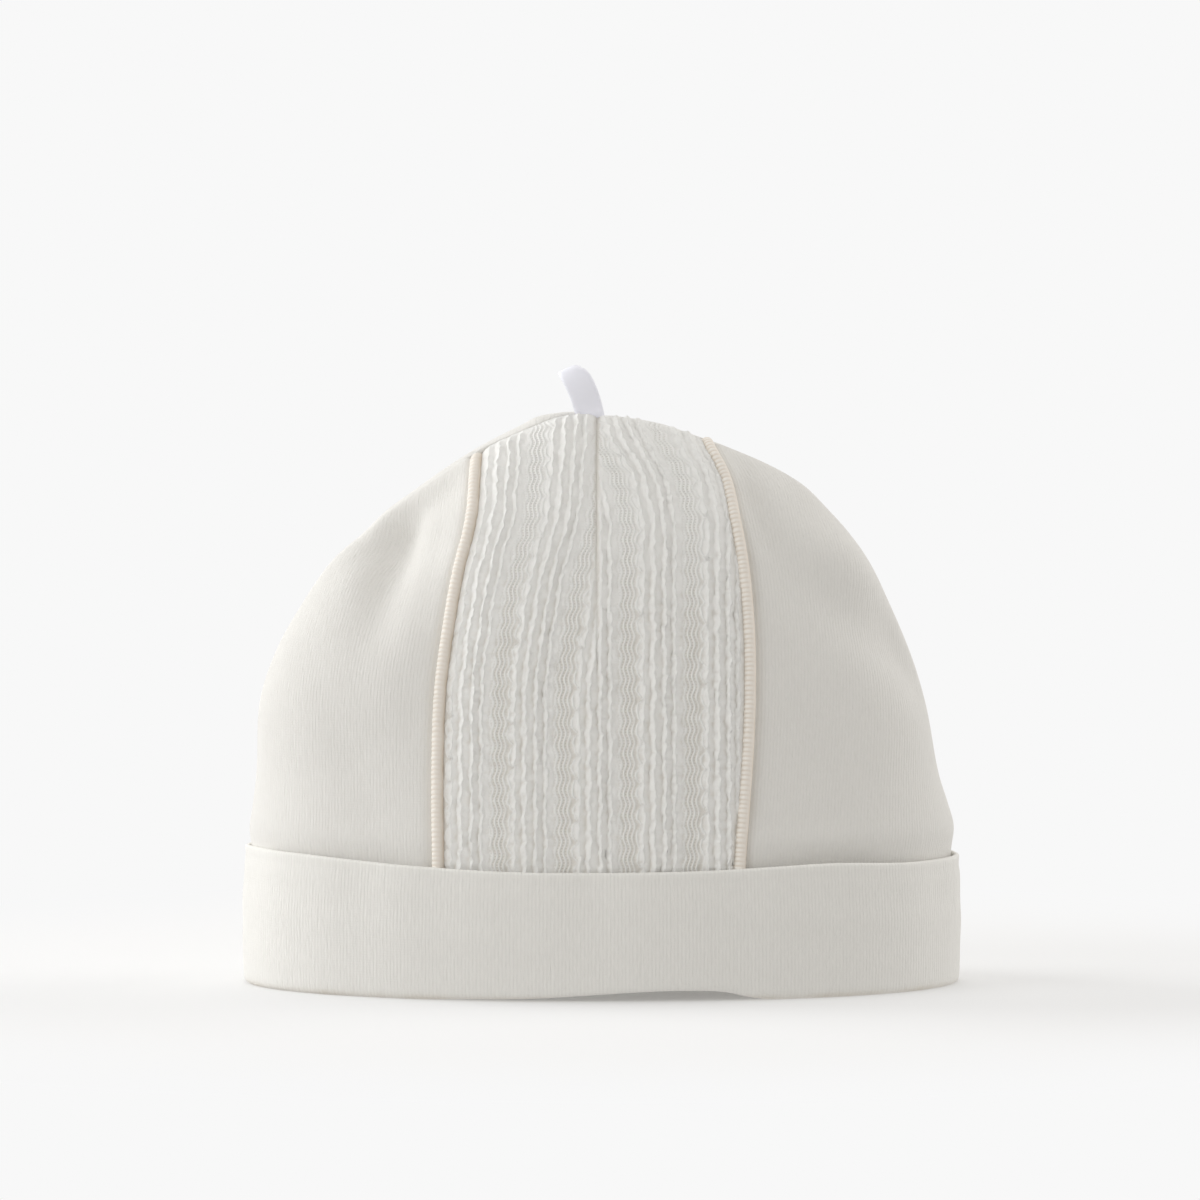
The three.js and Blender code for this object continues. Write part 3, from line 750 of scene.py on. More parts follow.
def loops_height(tree, wale, course):
    """Height of knitted loops in upright wales of slanting legs, and height of the rounded wales alone."""
    across, up = cloth_lengths(tree)
    column = across / wale + noise(tree, 900.0, 1.0, 0.5) * 0.35
    side = (column.math("FRACT") - 0.5).math("ABSOLUTE")
    leg = ((up / course + side) * (2 * math.pi)).math("SINE")
    rounded = 1.0 - side**2.0 * 4.0
    return rounded + leg * 0.12, rounded


def streaks(tree, scale, stretch):
    """Noise drawn out along the wales, from the cloth's own lengths."""
    lengths = add_node(tree, "ShaderNodeUVMap", {"uv_map": "cloth"}).outputs[0]
    along = add_node(tree, "ShaderNodeMapping", {"Scale": (1, 1 / stretch, 1)}, Vector=lengths)
    return noise(tree, scale, 2.0, 0.65, Vector=along.outputs[0])


def soft_colour(tree, colour, shade, amount, scale):
    """The cloth's colour, slightly uneven over a few centimetres."""
    shaded = [c * s for c, s in zip(colour, shade)]
    return mix(tree, noise(tree, scale, 3.0, 0.6) * amount, colour, shaded)


def jersey_material(knit, colours):
    """Interlock cotton, knitted and washed: matt and slightly fuzzy, with faint upright wales."""
    material, tree, shader = start_material(
        "interlock cotton jersey",
        {"Roughness": 0.9, "Sheen Weight": 0.18, "Sheen Roughness": 0.6, "Specular IOR Level": 0.22},
    )
    height, wales = loops_height(tree, knit.wale, knit.course)
    colour = soft_colour(tree, colours.jersey, (0.965, 0.955, 0.94), 0.9, 55.0)
    # The cuff is whiter where its cloth is doubled, and a painted highlight lightens its rolled lip.
    colour = mix(tree, attribute(tree, "doubled"), colour, colours.doubled)
    # Painted shade darkens the gaps between wales, more in some patches, and fine streaks run up the cloth.
    streak = streaks(tree, 1500.0, 5.0)
    patches = noise(tree, 140.0, 2.0, 0.5) * 0.24
    between = (1.0 - wales) * patches + streak * 0.32
    colour = mix(tree, between, colour, darker(colours.jersey, 0.8))
    # Painted shade darkens the hem, unevenly, where it turns under onto the floor.
    colour = mix(tree, attribute(tree, "hem") * (streak + 0.25), colour, colours.hem_shade)
    fuzz = noise(tree, 1800.0, 3.0, 0.7)
    dress(tree, shader, colour, (height + fuzz) * 0.6 + streak * 2.4, 0.14 * MM, 0.6)
    return material


def ribbed_material(knit, colours):
    """Textured cotton knit: matt raised ribs, and a finer ground with tiny holes, with painted shade darker
    in the grooves and holes and lighter on the raised lines.
    """
    material, tree, shader = start_material(
        "textured cotton rib knit",
        {"Roughness": 0.93, "Sheen Weight": 0.3, "Sheen Roughness": 0.5, "Specular IOR Level": 0.25},
    )
    full_turn = 2 * math.pi
    _, up = cloth_lengths(tree)
    band = attribute(tree, "band")
    clear = 1.0 - attribute(tree, "dart")
    # Threads finer than the mesh are drawn here. rib is a whole number on each raised line of a rib, and
    # zigzag is a whole number halfway between two zigzag lines, where the rows of holes are.
    crinkle = streaks(tree, 900.0, 1.0) - 0.5
    rib = attribute(tree, "rib") + crinkle * 0.3
    ridge = (((rib * full_turn).math("COSINE") + 1.0) * 0.5) ** 9.0
    across = ((attribute(tree, "zigzag") + crinkle * 0.25) * full_turn).math("COSINE")
    lines = (across * -1.0).math("MAXIMUM", 0.0) ** 1.5 * band
    upwards = (up * (full_turn / knit.hole_pitch)).math("SINE").math("MAXIMUM", 0.0)
    holes = across.math("MAXIMUM", 0.0) * upwards * band * clear
    raised = ridge.math("MAXIMUM", lines) * clear
    # Painted shade: the colour darkens where the knit lies deep and in its tiny holes, and is lighter on the
    # raised lines.
    colour = mix(tree, attribute(tree, "groove") - raised * 0.6, colours.knit, colours.knit_groove_shade)
    colour = mix(tree, holes * 0.85, colour, darker(colours.knit_groove_shade, 0.76))
    fuzz = noise(tree, 1900.0, 3.0, 0.7)
    pebbles = value_node(
        tree, "ShaderNodeTexVoronoi", "Distance", {"feature": "SMOOTH_F1", "Scale": 1250.0}
    )
    # The shares are heights in millimetres.
    relief = raised * 0.12 + holes * -0.07 + crinkle * 0.1 + fuzz * 0.05 + pebbles * -0.075
    dress(tree, shader, colour, relief, MM)
    return material


def piping_material(knit, colours):
    """Cord covered in cream cotton: matt, with paler stitches where the thread attribute is high."""
    material, tree, shader = start_material(
        "cream corded cotton piping",
        {"Roughness": 0.88, "Sheen Weight": 0.15, "Sheen Roughness": 0.6, "Specular IOR Level": 0.25},
    )
    colour = soft_colour(tree, colours.piping, (0.93, 0.9, 0.85), 0.9, 700.0)
    colour = mix(tree, attribute(tree, "thread"), colour, colours.piping_thread)
    # Painted shade: darker between the stitches and along the cord's right side, where the seam is in shade.
    colour = mix(tree, attribute(tree, "gap") * 0.75, colour, colours.piping_gap)
    dress(tree, shader, colour, noise(tree, 2600.0, 3.0, 0.7), 0.08 * MM, 0.5)
    return material


def satin_material(knit, colours):
    """Woven polyester satin ribbon: smooth floats along its length give a soft silky gloss."""
    material, tree, shader = start_material(
        "woven satin ribbon",
        {"Roughness": 0.42, "Sheen Weight": 0.1, "Specular IOR Level": 0.5, "Anisotropic": 0.4},
    )
    across, _ = cloth_lengths(tree)
    floats = (across * (2 * math.pi / knit.float_pitch)).math("SINE")
    colour = soft_colour(tree, colours.satin, (0.95, 0.95, 0.97), 0.8, 300.0)
    dress(tree, shader, colour, floats, 0.03 * MM, 0.3)
    return material


def paper_material(colours):
    """Matt paper sweep: it takes the cap's shadow near the cap, and further out it is lit from behind."""
    material, tree, shader = start_material(
        "matt paper sweep", {"Roughness": 1.0, "Specular IOR Level": 0.0, "Emission Strength": 1.0}
    )
    place = add_node(tree, "ShaderNodeNewGeometry")
    distance = add_node(tree, "ShaderNodeVectorMath", {"operation": "LENGTH"}, _0=place.outputs["Position"])
    settings = {"interpolation_type": "SMOOTHSTEP", "From Min": 0.125, "From Max": 0.23}
    far = value_node(tree, "ShaderNodeMapRange", 0, settings, Value=distance.outputs["Value"])
    base = mix(tree, far, darker(colours.paper, 0.85), (0, 0, 0))
    glow = mix(tree, far, darker(colours.paper, 0.126), colours.paper)
    tree.links.new(base, shader.inputs["Base Color"])
    tree.links.new(glow, shader.inputs["Emission Color"])
    return material


MAKERS = {
    "jersey": jersey_material,
    "textured_knit": ribbed_material,
    "piping": piping_material,
    "satin_ribbon": satin_material,
}
MADE = {}


def material_for(slot, scene):
    """The material of one of the record's slots, made when it is first asked for."""
    if slot not in MADE:
        MADE[slot] = MAKERS[slot](scene.nightcap_knit, scene.nightcap_colours)
    return MADE[slot]


def settle(piece, node):
    """Puts a piece on the body it rides on, and hides the node that it stands for."""
    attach(piece, BODY)
    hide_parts(node)


# Relief of the ribbed knit


def pleat_height(u, left, crest, right):
    """Height of a fold of cloth between two creases: rounded, and sharper along its crest."""
    least_width, full_width = 0.3 * MM, 1.3 * MM
    steep, gentle = 0.4 * MM, 0.6 * MM
    soft_share = 0.42
    width = np.maximum(right - left, least_width)
    place = np.clip((u - left) / width, 0, 1)
    middle = np.clip((crest - left) / width, 0.32, 0.68)
    rounded = np.sin(math.pi * place ** (math.log(0.5) / np.log(middle))) ** 0.65
    away = u - crest
    sharp = np.exp(-np.abs(away) / np.where(away < 0, steep, gentle))
    narrow = np.clip((right - left) / full_width, 0, 1)
    return rounded * narrow * (soft_share + (1 - soft_share) * sharp)


def knit_relief(u, v, knit):
    """Height of the textured knit at cloth places u across and v up.

    Also gives how deep each place lies, how lacy it is, and its places among the zigzag lines and among the
    ribs' raised lines, both counted from line to line.
    """
    height = np.zeros(u.shape)
    band = np.zeros(u.shape)
    lines = np.zeros(u.shape)
    rib = np.zeros(u.shape)
    before = None
    first = math.floor((u.min() - knit.first_band) / knit.repeat) - 1
    last = math.ceil((u.max() - knit.first_band) / knit.repeat) + 1
    for repeat in range(first, last + 1):
        middle = knit.first_band + repeat * knit.repeat
        phase = v / knit.scallop_length + roam(v, (0.1, 60, 900 + repeat)) + 0.37 * repeat
        scallop = np.abs(np.sin(math.pi * phase)) ** 0.8

        def crease(share, seed):
            crinkle = roam(v, (0.3, 13, seed), (0.2, 3.1, seed + 40))
            return middle + share * knit.repeat + crinkle * MM

        edges = [crease(PLEATS[0]["left"], 100 + 7 * repeat) - knit.scallop_reach * scallop]
        edges += [crease(pleat["right"], 101 + 7 * repeat + k) for k, pleat in enumerate(PLEATS)]
        edges[-1] = edges[-1] + 0.3 * knit.scallop_reach * scallop
        raised = [edges[0]]
        for k, pleat in enumerate(PLEATS):
            seed = 300 + 10 * repeat + k
            crest = crease(pleat["crest"], seed)
            raised.append(crest)
            uneven = 1 + roam(v, (0.24, 6, seed + 200), (0.3, 1.9, seed + 400))
            fold = pleat_height(u, edges[k], crest, edges[k + 1])
            height = np.maximum(height, pleat["height"] * knit.rib_height * uneven * fold)
        swing = 0.5 * knit.zigzag_reach / knit.zigzag_pitch * np.cos(2 * math.pi * phase)
        place = (u - middle) / knit.zigzag_pitch - swing
        for line in ZIGZAG_LINES:
            height = np.maximum(height, knit.zigzag_height * bell(place - line, 0.26))
        height = height + 0.9 * knit.zigzag_height * bell(u - edges[0], 0.2 * MM)
        for line in (*raised, edges[-1]):
            if before is not None:
                line = np.maximum(line, before + 0.3 * MM)
                rib = rib + np.clip((u - before) / (line - before), 0, 1)
            before = line
        nearness = bell(u - middle, 2.1 * MM) ** 2
        lines = np.where(nearness > band, place, lines)
        band = np.maximum(band, nearness)
    pebbles = cloth_noise(u, v, 0.85 * MM, 1.3 * MM, 70) + 0.7 * cloth_noise(u, v, 0.5 * MM, 0.8 * MM, 71)
    height = height + knit.pebble_height * pebbles * (1 - 0.75 * band)
    depth = np.clip(1 - height / (0.5 * knit.rib_height), 0, 1) ** 2.5
    return height, depth, band, lines, rib


# Operators


class PieceOperator:
    """Builds a piece from the scene's values and the crown's form."""

    def execute(self, context):
        scene = context.scene
        self.build(scene, scene.nightcap_sizes, scene.nightcap_knit, CrownForm(scene.nightcap_sizes))
        return {"FINISHED"}


class NIGHTCAP_OT_centre_panel(PieceOperator, bpy.types.Operator):
    """Knit the ribbed centre panel, gathered at its dart"""

    bl_idname = "nightcap.centre_panel"
    bl_label = "Centre panel"

    def build(self, scene, sizes, knit, form):
        left_columns, right_columns, rows, fold = 175, 160, 260, 5
        tuck = sizes.piping_diameter * TUCK_SHARE
        dart_x = form.dart_x("front")
        edges = {
            "left": lambda z: form.piping_x("left", z) + tuck,
            "right": lambda z: form.piping_x("right", z) - tuck,
        }
        shares = np.concatenate(
            (np.linspace(-1, 0, left_columns + 1), np.linspace(0, 1, right_columns + 1)[1:])
        )[:, None]

        def line_x(z):
            side = np.where(shares < 0, edges["left"](z), edges["right"](z))
            return dart_x + np.abs(shares) * (side - dart_x)

        up = form.even_shares(lambda z: np.full_like(z, dart_x), "front", rows)
        smooth = form.cloth_lines(line_x, len(shares), "front", up)
        normals = grid_normals(smooth)
        x, z = smooth[..., 0], smooth[..., 2]
        v = arc_length(smooth, axis=1)
        to_seam = v[:, -1:] - v
        # The dart swallows the cloth by which the panel is narrower here than at the hem.
        full = {side: abs(edge(form.base) - dart_x) for side, edge in edges.items()}
        taken_left = np.maximum(full["left"] - np.abs(edges["left"](z) - dart_x), 0)
        taken_right = np.maximum(full["right"] - np.abs(edges["right"](z) - dart_x), 0)
        from_dart = x - dart_x
        u = full["left"] + from_dart + np.where(from_dart < 0, -taken_left, taken_right)
        # groove is how deep the knit lies; it carries the painted shade of the grooves.
        relief, groove, band, lines, rib = knit_relief(u, v, knit)
        to_piping = np.minimum(np.abs(x - form.piping_x("left", z)), np.abs(x - form.piping_x("right", z)))
        # The relief fades at the pipings and at the ridge, and most of all where the dart's seam cuts it.
        fade_width, dart_width = 2.2 * MM, 0.8 * MM
        seam_fade = 1 - 0.6 * bell(to_piping, fade_width) - 0.85 * bell(to_seam, fade_width)
        dart = np.sqrt(form.dart_share("front", z))
        cut = np.clip((taken_left + taken_right) / (2 * MM), 0, 1)
        dart_fade = 1 - 0.9 * cut * bell(from_dart, dart_width)
        roll = sizes.seam_roll * bell(to_piping, sizes.seam_width)
        roll = roll + sizes.ridge_roll * bell(to_seam, 0.7 * sizes.seam_width)
        sink = roll + form.dent_depth(smooth, "front")
        sink = sink + sizes.dart_depth * dart * np.exp(-np.abs(from_dart) / dart_width)
        # The gathered cloth lies flatter and closer towards the top, and its painted shade is weaker there.
        gathered = np.clip((z / form.height - 0.62) / 0.22, 0, 1)
        lift = relief * (1 - 0.15 * gathered) * np.clip(seam_fade, 0, 1) * dart_fade - sink
        groove = groove * (1 - 0.8 * gathered)
        outer = smooth + lift[..., None] * normals
        # Painted shade also darkens the knit along the dart's seam groove.
        groove = np.clip(groove + 1.2 * dart * bell(from_dart, 0.6 * MM), 0, 1)
        dart_line = cut * bell(from_dart, 0.3 * MM)
        piece = cloth_shell(
            "ribbed_centre_panel",
            outer,
            sizes.panel_wall,
            fold,
            material_for("textured_knit", scene),
            np.stack([u, v], axis=-1),
            {"groove": groove, "band": band, "zigzag": lines, "rib": rib, "dart": dart_line},
        )
        settle(piece, "crown_centre_panel")


def jersey_panel(scene, form, name, node, points, u, face, from_ridge, from_cord, fold=1):
    """A plain jersey panel from a grid of surface points, rolled into its seams."""
    sizes = form.sizes
    normals = grid_normals(points)
    v = arc_length(points, axis=1)
    rolls = sum(sizes.ridge_roll * bell(distance, 0.7 * sizes.seam_width) for distance in from_ridge)
    rolls = rolls + sum(sizes.seam_roll * bell(distance, sizes.seam_width) for distance in from_cord)
    softness = 0.1 * MM * wander(points[..., 0] + 0.4 * points[..., 2], 31 * MM, 5)
    softness = softness + 0.12 * MM * wander(points[..., 2] - 0.5 * points[..., 0], 43 * MM, 9)
    # Front and back stay together along the ear-to-ear seam, so a dent is much shallower there.
    near_ridge = np.max([bell(distance, 5 * MM) for distance in from_ridge], axis=0)
    puff = form.puff(points)
    own = form.dent_depth(points, face) + puff - softness
    shared = 0.12 * (form.dent_depth(points, "front") + puff)
    # The cuff's rim presses the cloth in, and it swells a little over the rim.
    over_rim = points[..., 2] - sizes.cuff_height
    press = 0.1 * MM * bell(over_rim, 2.2 * MM) - 0.4 * MM * bell(over_rim - 5.5 * MM, 3 * MM)
    sink = rolls - puff + press + own * (1 - near_ridge) + shared * near_ridge
    outer = points - sink[..., None] * normals
    cloth = np.stack([u, v], axis=-1)
    piece = cloth_shell(name, outer, sizes.panel_wall, fold, material_for("jersey", scene), cloth)
    settle(piece, node)


class NIGHTCAP_OT_side_panels(PieceOperator, bpy.types.Operator):
    """Cut and sew the plain jersey panels at both sides of the front"""

    bl_idname = "nightcap.side_panels"
    bl_label = "Side panels"

    def build(self, scene, sizes, knit, form):
        columns, rows = 96, 180
        for side, sign in (("left", -1), ("right", 1)):
            tuck = sign * sizes.piping_diameter * TUCK_SHARE

            def line_x(z):
                return form.piping_x(side, z) + tuck

            up = form.even_shares(line_x, "front", rows)
            points = form.side_patch(side, line_x, "front", np.linspace(0, 1, columns + 1), up)
            from_seam = arc_length(points, axis=0)
            from_piping = from_seam[-1:] - from_seam
            v = arc_length(points, axis=1)
            cut_from = 34 * MM  # how far into the cloth the panel's inner edge is cut
            jersey_panel(
                scene,
                form,
                f"jersey_{side}_panel",
                f"crown_{side}_panel",
                points,
                sign * (from_piping + cut_from),
                "front",
                (from_seam, v[:, -1:] - v),
                (from_piping,),
            )


class NIGHTCAP_OT_back_panel(PieceOperator, bpy.types.Operator):
    """Cut and sew the plain jersey back, with a dart like the front's"""

    bl_idname = "nightcap.back_panel"
    bl_label = "Back panel"

    def build(self, scene, sizes, knit, form):
        side_columns, half_columns, rows = 80, 70, 180
        dart_x = form.dart_x("back")
        even = np.linspace(-1, 1, 2 * half_columns + 1)[:, None]

        def line_x(z):
            side = np.where(even < 0, form.piping_x("left", z), form.piping_x("right", z))
            return dart_x + np.abs(even) * (side - dart_x)

        up = form.even_shares(lambda z: np.full_like(z, dart_x), "back", rows)
        middle = form.cloth_lines(line_x, len(even), "back", up)
        share = np.linspace(0, 1, side_columns + 1)
        left = form.side_patch("left", lambda z: form.piping_x("left", z), "back", share, up)
        right = form.side_patch("right", lambda z: form.piping_x("right", z), "back", share, up)
        points = np.concatenate((left[:-1], middle, right[::-1][1:]))
        across = arc_length(points, axis=0)
        v = arc_length(points, axis=1)
        from_top = v[:, -1:] - v
        dart = np.sqrt(form.dart_share("back", points[..., 2]))
        groove = sizes.dart_depth * dart * np.exp(-np.abs(points[..., 0] - dart_x) / (0.9 * MM))
        points = points - groove[..., None] * grid_normals(points)
        jersey_panel(
            scene,
            form,
            "jersey_back_panel",
            "crown_back_panel",
            points,
            across - across[side_columns + half_columns],
            "back",
            (across, across[-1:] - across, from_top),
            (),
            fold=4,
        )


class NIGHTCAP_OT_pipings(PieceOperator, bpy.types.Operator):
    """Lay the two covered cords into the seams beside the centre panel"""

    bl_idname = "nightcap.pipings"
    bl_label = "Pipings"

    def build(self, scene, sizes, knit, form):
        radius = sizes.piping_diameter / 2
        steps, sides = 720, 20
        for side in ("left", "right"):

            def line_x(z):
                return form.piping_x(side, z)

            reach = 0.998  # the cord ends just short of the ear-to-ear seam
            up = form.even_shares(line_x, "front", steps) * reach
            line = form.cloth_lines(line_x, 1, "front", up)[0]
            outwards = form.normal(line)
            way = arc_length(line[None], axis=1)[0]
            to_end = way[-1] - way
            sink = sizes.piping_sink + form.dent_depth(line, "front") + 0.7 * radius * bell(to_end, 1.8 * MM)
            centres = line - sink[:, None] * outwards
            taper = np.clip(0.7 + to_end / (3 * MM), 0, 1)[:, None]
            stitch = way / knit.piping_pitch + 0.15 * wander(way, 11 * MM, 31)
            uneven = 1 + 0.25 * wander(way, 4 * MM, 32)
            loops = (0.5 + 0.5 * np.sin(2 * math.pi * stitch)) ** 0.8

            def facing(angles, middle, spread):
                return np.exp(-(((angles - middle + math.pi) % (2 * math.pi) - math.pi) / spread) ** 2)

            # Angles run from the cord's right side (0) over its back (90 degrees) to its left side (180).
            round_cord = np.linspace(0, 2 * math.pi, sides, endpoint=False)
            middle, spread, height = (140, 1.05, 0.15 * MM) if side == "left" else (128, 0.9, 0.11 * MM)
            teeth = facing(round_cord, math.radians(middle), spread)[None, :]
            strength = (loops * uneven * np.clip(to_end / (6 * MM), 0, 1))[:, None] * teeth
            # Painted shade falls between the stitches on the stitched side and in a line along each cord's
            # right side.
            shade = (0.6 + roam(way, (0.25, 9, 33)))[:, None]
            gap = 0.42 * np.clip(1 - 2 * loops, 0, 1)[:, None] * teeth
            gap = gap + facing(round_cord, math.radians(8), 0.5)[None, :] * shade
            piece = tube_mesh(
                f"corded_piping_{side}",
                centres,
                taper * (radius - 0.06 * MM + height * strength),
                outwards,
                sides,
                material_for("piping", scene),
                {"thread": np.clip(strength * 0.6, 0, 1), "gap": gap},
            )
            settle(piece, f"piping_{side}")


class NIGHTCAP_OT_cuff(PieceOperator, bpy.types.Operator):
    """Turn up the cuff: an inner leg, the fold on the floor and a doubled outer leg"""

    bl_idname = "nightcap.cuff"
    bl_label = "Cuff"

    def build(self, scene, sizes, knit, form):
        around, outer_rows, fold_rows = 300, 26, 14
        rim = smooth_curve(CUFF_RIM, "angle", "height")
        angles = np.linspace(0, 2 * math.pi, around, endpoint=False)
        ease = sizes.side_ease + (sizes.front_ease - sizes.side_ease) * np.sin(angles) ** 2
        outside = ease + sizes.cuff_wall
        top = sizes.cuff_height * rim(np.degrees(angles))
        leg = sizes.crown_base - 0.3 * MM
        wall = sizes.panel_wall
        slot = sizes.hem_cloth
        half = (outside + wall) / 2
        middle = (outside - wall) / 2
        # The section runs down the inner leg, round the hem, up the outside, over the fold and into the slot.
        section = [(np.full(around, -wall), np.full(around, leg))]
        hem_height = 1.5 * sizes.hem_cloth
        for turn in np.linspace(math.pi, 2 * math.pi, fold_rows):
            flat = np.sign(np.cos(turn)) * np.abs(np.cos(turn)) ** 0.8
            section.append((middle + half * flat, hem_height * (1 - np.abs(np.sin(turn)) ** 0.62)))
        for share in np.linspace(0, 1, outer_rows)[1:]:
            section.append((outside, hem_height + (top - sizes.cuff_wall / 2 - hem_height) * share))
        for turn in np.linspace(0, math.pi, 9)[1:]:
            out = ease + sizes.cuff_wall * (0.5 + 0.5 * np.cos(turn))
            section.append((out, top + sizes.cuff_wall / 2 * (np.sin(turn) - 1)))
        for share in np.linspace(1, 0, 8)[1:]:
            section.append((ease, slot + (top - sizes.cuff_wall / 2 - slot) * share))
        section.append((np.zeros(around), np.full(around, slot)))
        section.append((np.zeros(around), np.full(around, leg)))
        out = np.stack([row[0] + 0 * angles for row in section], axis=1)
        z = np.stack([row[1] + 0 * angles for row in section], axis=1)
        rim_x = form.half_width * np.cos(angles)
        rim_y = form.half_depth * np.sin(angles)
        outwards = np.stack([np.cos(angles) / form.half_width, np.sin(angles) / form.half_depth], axis=-1)
        outwards = unit(outwards)
        # The outer leg ripples gently and leans in a little towards the crown at its fold.
        way = arc_length(np.stack([rim_x, rim_y, 0 * rim_x], axis=-1)[None], axis=1)[0]
        length = way[-1] + float(np.hypot(rim_x[0] - rim_x[-1], rim_y[0] - rim_y[-1]))
        place = way / length * 2 * math.pi
        outer = np.clip(out / ease[:, None], 0, 1)
        up = np.clip(z / sizes.cuff_height, 0, 1.1)
        ripple = sum(row["size"] * np.sin(row["waves"] * place + row["start"]) for row in RIPPLES)
        puckers = 0.12 * np.sin(95 * place) * bell(np.minimum(place, 2 * math.pi - place), 0.16)
        # All of these are in millimetres.
        waves = 0.16 * np.sin(z / (1.7 * MM) + 3 * place[:, None])
        belly = 0.3 * np.sin(math.pi * np.clip(up, 0, 1))
        rim_gap = 0.05
        lean = -(ease[:, None] / MM - rim_gap) * up**4
        below_top = (top[:, None] - z) / MM
        lip = 0.16 * bell(below_top - 0.6, 0.7) - 0.14 * bell(below_top - 2.4, 0.8)
        soft = (ripple + puckers)[:, None] * (0.25 + 0.6 * up) + waves * up * (1 - np.clip(up, 0, 1) ** 4)
        out = out + MM * outer * (soft + belly + lean + lip)
        arch = np.maximum(smooth_curve(HEM_ARCH, "angle", "lift")(np.degrees(angles)), 0)
        z = z + sizes.hem_lift * arch[:, None] * np.clip(1 - z / leg, 0, 1)
        points = np.stack(
            [rim_x[:, None] + out * outwards[:, :1], rim_y[:, None] + out * outwards[:, 1:], z], axis=-1
        )
        count = points.shape[1]
        index = np.arange(around * count).reshape(around, count)
        index = np.concatenate((index, index[:1]), axis=0)
        index = np.concatenate((index, index[:, :1]), axis=1)
        faces = grid_quads(index)
        down = arc_length(points, axis=1)
        uv = np.stack([np.broadcast_to(way[:, None], down.shape), down], axis=-1)
        # Painted shade along the hem where it turns under onto the floor, uneven along its length.
        uneven_shade = 0.75 + 0.35 * wander(way, 23 * MM, 61)
        hem = 0.8 * bell(z - 0.35 * MM, 0.75 * MM) * outer * uneven_shade[:, None]
        # The whole cuff takes some of the doubled colour for its doubled cloth, and a painted highlight makes
        # it whiter along the rolled lip at its top.
        piece = finish_mesh(
            "turned_up_cuff",
            points.reshape(-1, 3),
            faces,
            material_for("jersey", scene),
            uv.reshape(-1, 2),
            {"doubled": (0.6 + 0.4 * bell(below_top, 1.3)).ravel(), "hem": np.clip(hem, 0, 1).ravel()},
        )
        settle(piece, "cuff")


